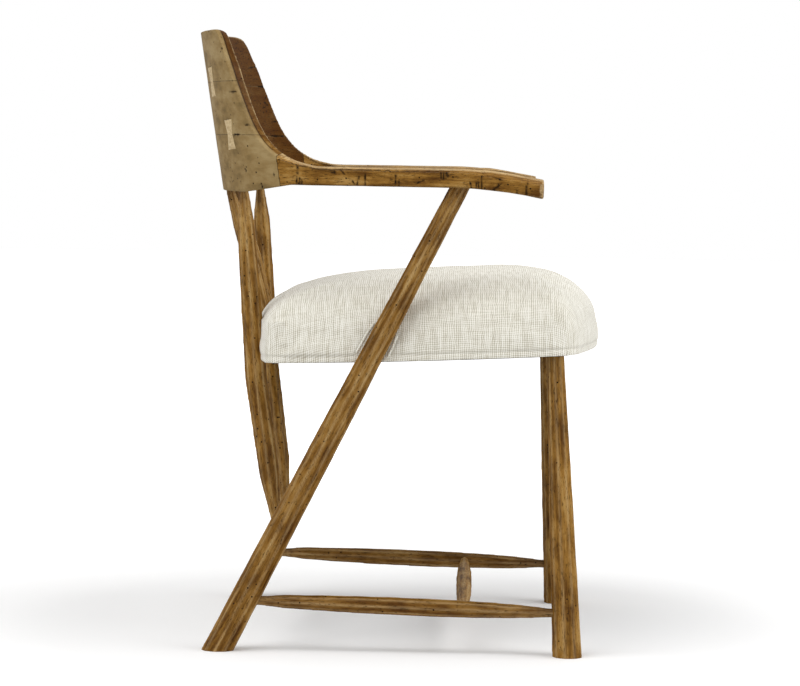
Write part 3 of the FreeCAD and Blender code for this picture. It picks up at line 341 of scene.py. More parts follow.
@dataclass(frozen=True)
class DriftwoodFinish:
    """Hardwood, hand scraped, stained golden brown and rubbed with a dark glaze under satin lacquer.

    The eye sees lengthwise brown streaks, dark pores and worm holes, short cross nicks, paler edges
    and a soft sheen. The paler edges are partly rubbed wear and partly painted highlight. The grey
    tone of the boards' outer faces is partly the wood's blotchy grey wash and partly painted
    reflection of the pale studio; the dark brown of the boards' inner faces and edge bands and of the
    side stretchers is painted shade. Pattern sizes are along and across the grain, a noise is its
    detail, roughness and swirl. The pores are drawn a little coarser than real ones, so that they
    show in a render.
    """

    name: str = "driftwood_glazed_hardwood"
    tones: tuple[str, ...] = ("#553512", "#74501F", "#90682E", "#AA854B")
    tone_stops: tuple[float, ...] = (0.38, 0.46, 0.53, 0.62)
    # Blotchy grey tones of the boards' outer faces: partly the wood's grey wash, partly painted reflection of
    # the pale studio.
    smoke: tuple[str, ...] = ("#715D3A", "#8B734A", "#9E885F")
    smoke_and_reflection_stops: tuple[float, ...] = (0.33, 0.50, 0.68)
    # Pale colour of worn ridges and of painted highlights along edges.
    worn: str = "#CDB284"
    # Dark brown of the painted shade on the boards' inner faces and edge bands and on the side stretchers; it
    # also darkens the rear legs a little.
    stain: str = "#4C2B09"
    glaze: str = "#1C1006"
    streak_mm: tuple[float, float] = (80.0, 6.0)
    blotch_mm: tuple[float, float] = (46.0, 22.0)
    pore_mm: tuple[float, float] = (8.0, 1.4)
    hole_mm: tuple[float, float] = (9.5, 9.5)
    nick_mm: tuple[float, float] = (19.0, 130.0)
    streak_noise: tuple[float, float, float] = (5.0, 0.62, 0.5)
    blotch_noise: tuple[float, float, float] = (5.0, 0.6, 0.0)
    pore_noise: tuple[float, float, float] = (3.0, 0.7, 0.0)
    blotch_share: float = 0.52
    pore_edge: tuple[float, float] = (0.35, 0.44)
    pore_dark: float = 0.7
    # Share of the pores that still shows under that painted reflection.
    smoke_and_reflection_pore_share: float = 0.12
    hole_edge: tuple[float, float] = (0.09, 0.15)
    hole_dark: float = 1.0
    holes_above: float = 0.45
    nick_edge: tuple[float, float] = (0.03, 0.06)
    nick_dark: float = 0.9
    nicks_above: float = 0.55
    hollow_edge: tuple[float, float] = (0.40, 0.49)
    hollow_dark: float = 0.8
    ridge_edge: tuple[float, float] = (0.525, 0.60)
    ridge_pale: float = 0.55
    rub_edge: tuple[float, float] = (0.3, 0.62)
    rub_pale: tuple[float, float] = (0.1, 0.9)
    rough: tuple[float, float] = (0.54, 0.36)
    rough_edge: tuple[float, float] = (0.3, 0.7)
    relief_mm: float = 0.5
    relief_strength: float = 0.45

    def make(self) -> bpy.types.Material:
        """Builds the material from the attributes of the piece.

        Returns:
            The material.
        """
        material, tree, shader = fresh(
            self.name, IOR=1.5, Coat_Weight=0.10, Coat_Roughness=0.18, Specular_IOR_Level=0.0)
        grain = add(tree, "ShaderNodeAttribute", attribute_name="grain").outputs["Vector"]
        smoke_and_reflection, scars, edge_wear_and_highlight, stain = (
            add(tree, "ShaderNodeAttribute", attribute_name=name).outputs["Fac"]
            for name in ("smoke_and_reflection", "glaze", "edge_wear_and_highlight", "stain"))
        sizes = {
            "streak": self.streak_mm, "blotch": self.blotch_mm, "pore": self.pore_mm,
            "hole": self.hole_mm, "nick": self.nick_mm}
        at = {}
        for pattern, (long_mm, wide_mm) in sizes.items():
            scale = (per(long_mm), per(wide_mm), per(wide_mm))
            place = add(tree, "ShaderNodeVectorMath", {0: grain, 1: scale}, operation="MULTIPLY")
            at[pattern] = place.outputs[0]
        noises = {}
        for pattern, (detail, rough, swirl) in (
                ("streak", self.streak_noise), ("blotch", self.blotch_noise), ("pore", self.pore_noise)):
            noises[pattern] = add(tree, "ShaderNodeTexNoise", {
                "Vector": at[pattern], "Scale": 1.0, "Detail": detail, "Roughness": rough,
                "Distortion": swirl}).outputs["Fac"]
        tone = add(tree, "ShaderNodeMix", {0: self.blotch_share, 2: noises["streak"], 3: noises["blotch"]})
        colour = add(
            tree, "ShaderNodeValToRGB", {0: tone.outputs[0]}, stops=list(zip(self.tone_stops, self.tones)))
        # Grey wash and painted reflection for the boards' outer faces.
        smoke_and_reflection_colour = add(
            tree, "ShaderNodeValToRGB", {0: noises["blotch"]}, stops=list(zip(self.smoke_and_reflection_stops, self.smoke)))
        # Painted shade: inner faces, edge bands and side stretchers are drawn dark brown.
        inside = add(tree, "ShaderNodeMix", {
            0: stain, 6: colour.outputs[0], 7: linear(self.stain)}, data_type="RGBA")
        base = add(tree, "ShaderNodeMix", {
            0: smoke_and_reflection, 6: inside.outputs[2], 7: smoke_and_reflection_colour.outputs[0]}, data_type="RGBA")
        # Pores nearly vanish under the grey wash and painted reflection of the outer faces.
        pore = add(tree, "ShaderNodeMapRange", {
            0: noises["pore"], 1: self.pore_edge[0], 2: self.pore_edge[1], 3: self.pore_dark, 4: 0.0})
        bare = add(tree, "ShaderNodeMapRange", {0: smoke_and_reflection, 3: 1.0, 4: self.smoke_and_reflection_pore_share}).outputs[0]
        pore = add(tree, "ShaderNodeMath", {0: pore.outputs[0], 1: bare}, operation="MULTIPLY").outputs[0]
        # Worm holes are round dark spots and nicks short dark cuts across the grain, both in some cells only.
        dirt = scars
        for pattern, edge, dark, channel, above in (
                ("hole", self.hole_edge, self.hole_dark, 0, self.holes_above),
                ("nick", self.nick_edge, self.nick_dark, 1, self.nicks_above)):
            cells = add(tree, "ShaderNodeTexVoronoi", {"Vector": at[pattern], "Scale": 1.0})
            spot = add(tree, "ShaderNodeMapRange", {
                0: cells.outputs["Distance"], 1: edge[0], 2: edge[1], 3: dark, 4: 0.0})
            draw = add(tree, "ShaderNodeSeparateColor", {0: cells.outputs["Color"]})
            some = add(tree, "ShaderNodeMath", {0: draw.outputs[channel], 1: above}, operation="GREATER_THAN")
            spot = add(tree, "ShaderNodeMath", {0: spot.outputs[0], 1: some.outputs[0]}, operation="MULTIPLY")
            dirt = add(tree, "ShaderNodeMath", {0: dirt, 1: spot.outputs[0]}, operation="MAXIMUM").outputs[0]
        # Glaze stays in hollows and is rubbed off ridges.
        point = add(tree, "ShaderNodeNewGeometry").outputs["Pointiness"]
        hollow = add(tree, "ShaderNodeMapRange", {
            0: point, 1: self.hollow_edge[0], 2: self.hollow_edge[1], 3: self.hollow_dark, 4: 0.0}).outputs[0]
        for dark in (pore, hollow):
            dirt = add(tree, "ShaderNodeMath", {0: dirt, 1: dark}, operation="MAXIMUM").outputs[0]
        ridge = add(tree, "ShaderNodeMapRange", {
            0: point, 1: self.ridge_edge[0], 2: self.ridge_edge[1], 3: 0.0, 4: self.ridge_pale})
        ridge = add(tree, "ShaderNodeMath", {0: ridge.outputs[0], 1: bare}, operation="MULTIPLY")
        # Edges are drawn pale as well, partly rubbed wear and partly painted highlight.
        rub = add(tree, "ShaderNodeMapRange", {
            0: noises["streak"], 1: self.rub_edge[0], 2: self.rub_edge[1],
            3: self.rub_pale[0], 4: self.rub_pale[1]})
        rubbed = add(tree, "ShaderNodeMath", {0: edge_wear_and_highlight, 1: rub.outputs[0]}, operation="MULTIPLY")
        ridge = add(tree, "ShaderNodeMath", {
            0: ridge.outputs[0], 1: rubbed.outputs[0]}, operation="MAXIMUM")
        # Worn ridges and painted edge highlights take the pale colour.
        worn = add(tree, "ShaderNodeMix", {
            0: ridge.outputs[0], 6: base.outputs[2], 7: linear(self.worn)}, data_type="RGBA")
        final = add(tree, "ShaderNodeMix", {
            0: dirt, 6: worn.outputs[2], 7: linear(self.glaze)}, data_type="RGBA")
        tree.links.new(final.outputs[2], shader.inputs["Base Color"])
        rough = add(tree, "ShaderNodeMapRange", {
            0: noises["streak"], 1: self.rough_edge[0], 2: self.rough_edge[1],
            3: self.rough[0], 4: self.rough[1]})
        tree.links.new(rough.outputs[0], shader.inputs["Roughness"])
        height = add(tree, "ShaderNodeMath", {0: noises["pore"], 1: dirt}, operation="SUBTRACT")
        bump = add(tree, "ShaderNodeBump", {
            "Height": height.outputs[0], "Strength": self.relief_strength, "Distance": self.relief_mm * MM})
        tree.links.new(bump.outputs[0], shader.inputs["Normal"])
        return material


@dataclass(frozen=True)
class PlainWoodFinish:
    """Planed wood without glaze: straight even grain, matt, as on keys, rails and plywood."""

    name: str
    dark: str
    pale: str
    wide_mm: float = 2.4
    long_mm: float = 60.0
    along: str = "X"
    noise: tuple[float, float, float] = (4.0, 0.6, 0.4)
    rough: tuple[float, float] = (0.65, 0.55)
    rough_edge: tuple[float, float] = (0.3, 0.7)
    tone_stops: tuple[float, float] = (0.32, 0.66)
    relief_mm: float = 0.3
    relief_strength: float = 0.3

    def make(self) -> bpy.types.Material:
        """Builds the material on object coordinates, with its grain along one axis.

        Returns:
            The material.
        """
        material, tree, shader = fresh(self.name, IOR=1.5)
        place = add(tree, "ShaderNodeTexCoord").outputs["Object"]
        scale = [per(self.long_mm) if axis == self.along else per(self.wide_mm) for axis in "XYZ"]
        at = add(tree, "ShaderNodeVectorMath", {0: place, 1: scale}, operation="MULTIPLY")
        detail, rough, swirl = self.noise
        grain = add(tree, "ShaderNodeTexNoise", {
            "Vector": at.outputs[0], "Scale": 1.0, "Detail": detail, "Roughness": rough,
            "Distortion": swirl}).outputs["Fac"]
        colour = add(tree, "ShaderNodeValToRGB", {0: grain}, stops=list(
            zip(self.tone_stops, (self.dark, self.pale))))
        tree.links.new(colour.outputs[0], shader.inputs["Base Color"])
        rough = add(tree, "ShaderNodeMapRange", {
            0: grain, 1: self.rough_edge[0], 2: self.rough_edge[1], 3: self.rough[0], 4: self.rough[1]})
        tree.links.new(rough.outputs[0], shader.inputs["Roughness"])
        bump = add(tree, "ShaderNodeBump", {
            "Height": grain, "Strength": self.relief_strength, "Distance": self.relief_mm * MM})
        tree.links.new(bump.outputs[0], shader.inputs["Normal"])
        return material


@dataclass(frozen=True)
class LinenFinish:
    """Slub linen, plain weave in ivory.

    The eye sees a cross-hatch of round threads with thicker, paler slubs in one direction. The real
    threads are about 0.9 mm apart; they are drawn at 2.8 mm so that the weave shows in a render.
    """

    name: str = "ivory_slub_linen"
    tones: tuple[str, ...] = ("#B2AB99", "#D8D4C5", "#F0EEE5")
    tone_stops: tuple[float, ...] = (0.31, 0.48, 0.62)
    # Colour of the painted shade in folds and of the painted shadow over the hem band.
    fold_shade: str = "#8C8574"
    pitch_mm: float = 2.8
    slub_mm: tuple[float, float] = (3.6, 40.0)
    cross_slub_share: float = 0.7
    slub_rough: float = 0.55
    wobble: float = 1.3
    wobble_scale: float = 0.22
    detail: float = 2.0
    weft_share: float = 0.4
    weft_slub_share: float = 0.34
    slub_share: float = 0.62
    relief_mm: float = 0.7
    relief_strength: float = 0.5

    def make(self) -> bpy.types.Material:
        """Builds the material on the cloth's own weave attributes.

        Returns:
            The material.
        """
        material, tree, shader = fresh(
            self.name, IOR=1.45, Roughness=0.85, Sheen_Weight=0.25, Sheen_Roughness=0.5)
        tones = []
        for name in ("weave_side", "weave_end"):
            weave = add(tree, "ShaderNodeAttribute", attribute_name=name).outputs["Vector"]
            tones.append(self.threads(tree, weave))
        turned = add(tree, "ShaderNodeAttribute", attribute_name="turned").outputs["Fac"]
        tone = add(tree, "ShaderNodeMix", {0: turned, 2: tones[0], 3: tones[1]})
        colour = add(
            tree, "ShaderNodeValToRGB", {0: tone.outputs[0]}, stops=list(zip(self.tone_stops, self.tones)))
        # Painted shade in the folds beside the legs and painted shadow over the hem band.
        crease = add(tree, "ShaderNodeAttribute", attribute_name="crease").outputs["Fac"]
        colour = add(tree, "ShaderNodeMix", {
            0: crease, 6: colour.outputs[0], 7: linear(self.fold_shade)}, data_type="RGBA")
        tree.links.new(colour.outputs[2], shader.inputs["Base Color"])
        bump = add(tree, "ShaderNodeBump", {
            "Height": tone.outputs[0], "Strength": self.relief_strength, "Distance": self.relief_mm * MM})
        tree.links.new(bump.outputs[0], shader.inputs["Normal"])
        return material

    def threads(self, tree: bpy.types.NodeTree, weave: bpy.types.NodeSocket) -> bpy.types.NodeSocket:
        """Height of threads and slubs at a place on the flat cloth.

        Args:
            tree: The material's node tree.
            weave: Place on the cloth in metres.

        Returns:
            A number from 0, between threads, to 1, on a slub.
        """
        scale = (per(self.pitch_mm),) * 3
        at = add(tree, "ShaderNodeVectorMath", {0: weave, 1: scale}, operation="MULTIPLY")
        wobble = add(tree, "ShaderNodeTexNoise", {
            "Vector": at.outputs[0], "Scale": self.wobble_scale, "Detail": self.detail})
        shift = add(tree, "ShaderNodeVectorMath", {
            0: wobble.outputs["Color"], 1: (self.wobble, self.wobble, 0.0)}, operation="MULTIPLY")
        at = add(tree, "ShaderNodeVectorMath", {0: at.outputs[0], 1: shift.outputs[0]}, operation="ADD")
        # The wave texture runs through 20 radians per unit, so this is one wave per thread.
        one_turn = math.tau / 20
        bands = [
            add(tree, "ShaderNodeTexWave", {"Vector": at.outputs[0], "Scale": one_turn}, bands_direction=way)
            for way in ("X", "Y")]
        threads = add(tree, "ShaderNodeMix", {
            0: self.weft_share, 2: bands[0].outputs["Fac"], 3: bands[1].outputs["Fac"]})
        fine, long = (per(mm) for mm in self.slub_mm)
        slubs = []
        for scale in ((fine, long, 0.0), (long / self.cross_slub_share, fine, 0.0)):
            turned = add(tree, "ShaderNodeVectorMath", {0: weave, 1: scale}, operation="MULTIPLY")
            slubs.append(add(tree, "ShaderNodeTexNoise", {
                "Vector": turned.outputs[0], "Scale": 1.0, "Detail": self.detail,
                "Roughness": self.slub_rough}))
        slub = add(tree, "ShaderNodeMix", {
            0: self.weft_slub_share, 2: slubs[0].outputs["Fac"], 3: slubs[1].outputs["Fac"]})
        return add(tree, "ShaderNodeMix", {
            0: self.slub_share, 2: threads.outputs[0], 3: slub.outputs[0]}).outputs[0]


@dataclass(frozen=True)
class CambricFinish:
    """Black non-woven dust cloth: matt, with a faint felted fleck."""

    name: str = "black_cambric"
    dark: str = "#0E0E0E"
    pale: str = "#232323"
    tone_stops: tuple[float, float] = (0.35, 0.7)
    fleck_mm: float = 1.8
    detail: float = 3.0
    relief_mm: float = 0.3
    relief_strength: float = 0.4

    def make(self) -> bpy.types.Material:
        """Builds the material on object coordinates.

        Returns:
            The material.
        """
        material, tree, shader = fresh(self.name, Roughness=0.9, Sheen_Weight=0.1)
        place = add(tree, "ShaderNodeTexCoord").outputs["Object"]
        fleck = add(tree, "ShaderNodeTexNoise", {
            "Vector": place, "Scale": per(self.fleck_mm), "Detail": self.detail}).outputs["Fac"]
        colour = add(tree, "ShaderNodeValToRGB", {0: fleck}, stops=list(
            zip(self.tone_stops, (self.dark, self.pale))))
        tree.links.new(colour.outputs[0], shader.inputs["Base Color"])
        bump = add(tree, "ShaderNodeBump", {
            "Height": fleck, "Strength": self.relief_strength, "Distance": self.relief_mm * MM})
        tree.links.new(bump.outputs[0], shader.inputs["Normal"])
        return material


@dataclass(frozen=True)
class SteelFinish:
    """Zinc-plated mild steel as on screws and bolts: grey with a slight mottle."""

    name: str = "zinc_plated_steel"
    dark: str = "#8C8F92"
    pale: str = "#B9BCBF"
    tone_stops: tuple[float, float] = (0.3, 0.7)
    mottle_mm: float = 3.0
    detail: float = 2.0
    rough: tuple[float, float] = (0.28, 0.45)

    def make(self) -> bpy.types.Material:
        """Builds the material on object coordinates.

        Returns:
            The material.
        """
        material, tree, shader = fresh(self.name, Metallic=1.0)
        place = add(tree, "ShaderNodeTexCoord").outputs["Object"]
        mottle = add(tree, "ShaderNodeTexNoise", {
            "Vector": place, "Scale": per(self.mottle_mm), "Detail": self.detail}).outputs["Fac"]
        colour = add(tree, "ShaderNodeValToRGB", {0: mottle}, stops=list(
            zip(self.tone_stops, (self.dark, self.pale))))
        tree.links.new(colour.outputs[0], shader.inputs["Base Color"])
        rough = add(tree, "ShaderNodeMapRange", {0: mottle, 3: self.rough[0], 4: self.rough[1]})
        tree.links.new(rough.outputs[0], shader.inputs["Roughness"])
        return material


# Turned pieces.
def between(start: Vector, end: Vector, share: float) -> Vector:
    """Point on a straight line."""
    return start + (end - start) * share


@dataclass
class TurnedBar:
    """One turned bar, scraped by hand into soft flats.

    Its stations are (centre, diameter) in millimetres, from one end to the other.
    """

    node: str
    stations: list[tuple[Vector, float]]
    ring: Ring
    facets: int
    turn: float = 0.0
    floor: bool = False
    # Share of dark brown: painted shade on the side stretchers, a darker tone on the rear legs.
    stain: float = 0.0
    voxel_mm: float = 2.4
    smooth_rounds: int = 3
    dent_mm: float = 0.5
    dent_grain_mm: float = 26.0
    fullness: float = 1.035
    turn_shares: tuple[float, float, float] = (1.0, 1.7, 0.6)
    arris_mm: float = 1.8
    # Paleness of the flats' edges, partly rubbed wear and partly painted highlight.
    rubbed: float = 0.45

    def build(self, material: bpy.types.Material) -> bpy.types.Object:
        """Extrudes the bar from ring to ring, wears it and dresses it.

        Args:
            material: The wood finish.

        Returns:
            The finished bar.
        """
        axis = (self.stations[-1][0] - self.stations[0][0]).normalized()
        first, dia = self.stations[0]
        bpy.ops.object.select_all(action="DESELECT")
        bpy.ops.mesh.primitive_circle_add(
            vertices=self.facets, radius=1.0, fill_type="NGON", location=first * MM, rotation=self.ring.value)
        piece = active_named(f"{self.node}_scraped")
        bpy.ops.object.transform_apply(location=True, rotation=True, scale=True)
        with editing(piece):
            reach = self.stretch(axis) * (dia / 2 * MM * self.fullness)
            bpy.ops.transform.resize(value=reach, center_override=first * MM)
            for (before, old), (centre, new) in zip(self.stations, self.stations[1:]):
                bpy.ops.mesh.extrude_region_move(TRANSFORM_OT_translate={"value": (centre - before) * MM})
                bpy.ops.transform.resize(value=(new / old,) * 3, center_override=centre * MM)
        face_out(piece)
        modify(piece, "REMESH", mode="VOXEL", voxel_size=self.voxel_mm * MM)
        modify(piece, "SMOOTH", factor=0.5, iterations=self.smooth_rounds)
        modify(piece, "DISPLACE", texture=cloud(f"{self.node}_dents", self.dent_grain_mm),
               texture_coords="LOCAL", strength=2 * self.dent_mm * MM, mid_level=0.5)
        if self.floor:
            self.stand(piece)
        mark(piece, "grain", self.grain(piece, axis))
        # Edges between flats drawn pale, partly wear and partly painted highlight.
        mark(piece, "edge_wear_and_highlight", self.edge_wear_and_highlight(piece) * self.rubbed)
        # Dark brown as painted shade, on the bars that get any.
        mark(piece, "stain", np.full(len(piece.data.vertices), self.stain))
        dress(piece, material, "driftwood", self.node)
        return piece

    def stretch(self, axis: Vector) -> Vector:
        """Widens a ring that is cut at a slant, so that the bar keeps its diameter across its axis.

        Args:
            axis: Direction of the bar.

        Returns:
            The ring's scale on each axis.
        """
        normal = self.ring.normal
        lengths = []
        for index in range(3):
            slant = math.atan2(axis[index], axis[normal]) if index != normal else 0.0
            lengths.append(1 / abs(math.cos(slant)))
        return Vector(lengths)

    @staticmethod
    def stand(piece: bpy.types.Object) -> None:
        """Cuts a leg level at the floor."""
        with editing(piece):
            bpy.ops.mesh.bisect(plane_co=(0, 0, 0), plane_no=(0, 0, 1), use_fill=True, clear_inner=True)

    def edge_wear_and_highlight(self, piece: bpy.types.Object) -> np.ndarray:
        """Finds the edges between the flats, which are drawn pale as rubbed wear and painted highlight.

        Args:
            piece: The worn bar.

        Returns:
            How near each vertex is to an edge, from 0 to 1.
        """
        normal = self.ring.normal
        rows = places(piece)
        line = np.array([centre * MM for centre, _ in self.stations])
        line = line[np.argsort(line[:, normal])]
        offset = [
            rows[:, i] - np.interp(rows[:, normal], line[:, normal], line[:, i]) for i in self.ring.plane]
        turn = np.arctan2(offset[0], offset[1]) * self.facets / math.tau
        gap = np.abs(turn - np.round(turn)) * math.tau / self.facets * np.hypot(*offset)
        return bell(gap, self.arris_mm * MM)

    def grain(self, piece: bpy.types.Object, axis: Vector) -> np.ndarray:
        """Works out the place along and across the bar, shifted so that no two bars are alike.

        Args:
            piece: The worn bar.
            axis: Direction of the bar.

        Returns:
            One row per vertex, in metres.
        """
        rows = places(piece) - np.array(self.stations[0][0] * MM)
        across = axis.orthogonal().normalized()
        third = axis.cross(across)
        shift = np.array(self.turn_shares) * self.turn
        return np.stack([rows @ np.array(v) for v in (axis, across, third)], axis=1) + shift


@dataclass
class Underframe:
    """Legs, stretchers, back posts and spindles, in millimetres for the right hand.

    Swellings are (share of the length, diameter), those of stretchers (share, share of the swelling).
    """

    front_foot: Vector = field(default_factory=lambda: Vector((250, -234, 0)))
    front_top: Vector = field(default_factory=lambda: Vector((226, -211.5, 397.4)))
    front_dias: tuple[float, float, float] = (39.0, 31.5, 23.0)
    front_middle_share: float = 0.52
    rear_foot: Vector = field(default_factory=lambda: Vector((247, 229, 0)))
    rear_top: Vector = field(default_factory=lambda: Vector((267.9, -81.5, 617.0)))
    rear_dias: tuple[float, float, float] = (38.5, 34.0, 24.5)
    rear_middle_share: float = 0.47
    post_top: Vector = field(default_factory=lambda: Vector((160, 208, 606)))
    post_bow: Vector = field(default_factory=lambda: Vector((128, 191, 354)))
    post_foot: Vector = field(default_factory=lambda: Vector((99, 160.1, 137)))
    post_upper: tuple = ((0.0, 12.0), (0.18, 23.5), (0.5, 27.0), (1.0, 29.5))
    post_lower: tuple = ((0.35, 29.0), (0.62, 28.0), (0.93, 12.5), (1.0, 12.0))
    spindle_top: Vector = field(default_factory=lambda: Vector((46, 235.5, 606)))
    spindle_foot: Vector = field(default_factory=lambda: Vector((38, 182, 423.8)))
    spindle_swelling: tuple = ((0.0, 11.0), (0.16, 16.7), (0.45, 20.3), (0.72, 19.5), (1.0, 11.0))
    stretcher_swelling: tuple = (
        (0.12, 0.45), (0.25, 0.76), (0.38, 0.95), (0.58, 1.0), (0.72, 0.82), (0.84, 0.55))
    side_heights: tuple[float, float] = (67.5, 57.0)
    side_dias: tuple[float, float] = (12.5, 24.0)
    side_tenon: float = 24.0
    centre_reach: float = 95.5
    centre_dias: tuple[float, float] = (12.5, 22.0)
    centre_tenon: float = 13.0
    rear_height: float = 137.0
    rear_stretcher_dias: tuple[float, float] = (14.0, 27.0)
    rear_tenon: float = 24.0
    below: float = 20.0
    inside_arm: float = 8.0
    inside_seat: float = 24.0
    inside_board: float = 14.0
    # The side stretchers are darkened as painted shade near the floor.
    stretcher_stain: float = 0.4
    rear_leg_stain: float = 0.2
    facets: int = 9
    slim_facets: int = 8
    kind_turn: float = 0.37
    hand_turn: float = 0.11
    cross_turn: float = 2.9

    def leg(self, foot: Vector, top: Vector, dias: tuple, middle: float, past: float) -> list:
        """Lists the stations of a leg that runs below the floor and past its upper end.

        Args:
            foot: Centre at the floor.
            top: Centre at the upper end.
            dias: Diameters at the foot, at the middle station and at the top.
            middle: Share of the length at which the middle station is.
            past: How far the leg runs on.

        Returns:
            Centres and diameters.
        """
        run = (top - foot).normalized()
        stations = [(foot - run * self.below, dias[0]), (foot, dias[0])]
        stations += [(between(foot, top, s * middle), dias[0] + (dias[1] - dias[0]) * s) for s in (0.5, 1.0)]
        stations.append((between(foot, top, middle + (1 - middle) / 2), (dias[1] + dias[2]) / 2))
        return stations + [(top, dias[2]), (top + run * past, dias[2])]

    def cigar(self, start: Vector, end: Vector, dias: tuple[float, float], tenon: float) -> list:
        """Lists the stations of a stretcher with straight ends and a long swelling.

        Args:
            start: Centre of one end.
            end: Centre of the other end.
            dias: Diameters at the ends and in the middle.
            tenon: Length of the straight ends.

        Returns:
            Centres and diameters.
        """
        end_dia, mid_dia = dias
        run = (end - start).normalized() * tenon
        stations = [(start, end_dia), (start + run, end_dia)]
        for share, part in self.stretcher_swelling:
            stations.append((between(start, end, share), end_dia + (mid_dia - end_dia) * part))
        return stations + [(end - run, end_dia), (end, end_dia)]
    # Painted shade in the folds and painted shadow over the hem.

    @staticmethod
    def swelled(start: Vector, end: Vector, swelling: tuple) -> list:
        """Stations along a straight stretch."""
        return [(between(start, end, share), dia) for share, dia in swelling]

    def post(self) -> list:
        """Lists the stations of an outer back post, from the lower board to the rear stretcher.

        Returns:
            Centres and diameters.
        """
        upper = self.swelled(self.post_top, self.post_bow, self.post_upper)
        lower = self.swelled(self.post_bow, self.post_foot, self.post_lower)
        run = (self.post_top - self.post_bow).normalized() * self.inside_board
        return [(self.post_top + run, upper[0][1])] + upper + lower

    def spindle(self) -> list:
        """Lists the stations of an inner spindle, from the seat rail to the lower board.

        Returns:
            Centres and diameters.
        """
        stations = self.swelled(self.spindle_foot, self.spindle_top, self.spindle_swelling)
        run = (self.spindle_top - self.spindle_foot).normalized() * self.inside_board
        return stations + [(self.spindle_top + run, stations[-1][1])]

    @staticmethod
    def handed(stations: list, side: Side) -> list:
        """The stations on one side of the chair."""
        return [(Vector((c.x * side.value, c.y, c.z)), dia) for c, dia in stations]

    def bars(self) -> list[TurnedBar]:
        """Lists every turned bar of the chair.

        Returns:
            The bars, still to be built.
        """
        rear_run = self.rear_top - self.rear_foot
        front_run = self.front_top - self.front_foot
        side_rear = self.rear_foot + rear_run * (self.side_heights[0] / rear_run.z)
        side_front = self.front_foot + front_run * (self.side_heights[1] / front_run.z)
        share = (side_rear.y + self.centre_reach) / (side_rear.y - side_front.y)
        centre = between(side_rear, side_front, share)
        rear = self.rear_foot + rear_run * (self.rear_height / rear_run.z)
        front_leg = self.leg(
            self.front_foot, self.front_top, self.front_dias, self.front_middle_share, self.inside_seat)
        rear_leg = self.leg(
            self.rear_foot, self.rear_top, self.rear_dias, self.rear_middle_share, self.inside_arm)
        side_bar = self.cigar(side_rear, side_front, self.side_dias, self.side_tenon)
        kinds = [
            ("front_leg", front_leg, Ring.Z, 0.0), ("rear_leg", rear_leg, Ring.Z, self.rear_leg_stain),
            ("back_post", self.post(), Ring.Z, 0.0), ("back_spindle", self.spindle(), Ring.Z, 0.0),
            ("side_stretcher", side_bar, Ring.Y, self.stretcher_stain)]
        made = []
        for number, (kind, stations, ring, stain) in enumerate(kinds):
            leg = "leg" in kind
            for side in Side:
                made.append(TurnedBar(
                    f"{kind}_{side.word}", self.handed(stations, side), ring,
                    self.facets if leg else self.slim_facets, floor=leg, stain=stain,
                    turn=self.kind_turn * (number + 1) + self.hand_turn * side.value))
        for name, spot, dias, tenon in (
                ("centre_stretcher", centre, self.centre_dias, self.centre_tenon),
                ("rear_stretcher", rear, self.rear_stretcher_dias, self.rear_tenon)):
            left = Vector((-spot.x, spot.y, spot.z))
            stations = self.cigar(left, spot, dias, tenon)
            made.append(TurnedBar(name, stations, Ring.X, self.slim_facets, turn=self.cross_turn))
        return made

    def build(self, material: bpy.types.Material) -> None:
        """Makes every bar."""
        for bar in self.bars():
            bar.build(material)


# Back and arms.
@dataclass
class PlanLine:
    """Plan line that the back and arms follow, in metres: wide arc, corner arc, straight arm."""

    arc_radius: float = 470 * MM
    arc_half: float = 200 * MM
    corner_radius: float = 95 * MM
    reach: float = 237 * MM
    foot: float = 606 * MM
    lean: float = math.tan(math.radians(9))
    splay: float = math.radians(4)

    @property
    def arc_turn(self) -> float:
        """Turn from straight back at which the wide arc ends."""
        return math.asin(self.arc_half / self.arc_radius)

    def corner_centre(self) -> tuple[float, float]:
        """Centre of the corner arc, right hand, in plan."""
        gap = self.arc_radius - self.corner_radius
        return gap * math.sin(self.arc_turn), self.reach - self.arc_radius + gap * math.cos(self.arc_turn)

    def corner_point(self, turn: float) -> Vector:
        """Finds a point of the corner arc, right hand.

        Args:
            turn: Turn from straight back.

        Returns:
            The point at the foot of the boards.
        """
        x, y = self.corner_centre()
        radius = self.corner_radius
        return Vector((x + radius * math.sin(turn), y + radius * math.cos(turn), self.foot))

    def arm_start(self) -> float:
        """Length of the line up to the start of the straight arm."""
        corner = math.pi / 2 - self.splay - self.arc_turn
        return self.arc_radius * self.arc_turn + self.corner_radius * corner

    def grain(self, rows: np.ndarray) -> np.ndarray:
        """Developed place of points: along the line, up, and out from it.

        Args:
            rows: Points in metres.

        Returns:
            One row of along, up and out per point.
        """
        out_x = np.abs(rows[:, 0])
        back = rows[:, 1] - self.lean * (rows[:, 2] - self.foot)
        arc_y = self.reach - self.arc_radius
        centre = np.array(self.corner_centre())
        turn = np.arctan2(out_x, back - arc_y)
        along = self.arc_radius * turn
        out = np.hypot(out_x, back - arc_y) - self.arc_radius
        tight = np.arctan2(out_x - centre[0], back - centre[1])
        corner = turn > self.arc_turn
        end_turn = math.pi / 2 - self.splay
        start = self.arc_radius * self.arc_turn
        bent = start + self.corner_radius * (np.clip(tight, self.arc_turn, end_turn) - self.arc_turn)
        along = np.where(corner, bent, along)
        out = np.where(corner, np.hypot(out_x - centre[0], back - centre[1]) - self.corner_radius, out)
        arm = corner & (tight > end_turn)
        way = np.array([math.sin(self.splay), -math.cos(self.splay)])
        side = np.array([math.cos(self.splay), math.sin(self.splay)])
        offset = np.stack([out_x - centre[0], back - centre[1]], axis=1)
        along = np.where(arm, self.arm_start() + offset @ way, along)
        out = np.where(arm, offset @ side - self.corner_radius, out)
        return np.stack([along * np.sign(rows[:, 0]), rows[:, 2], out], axis=1)


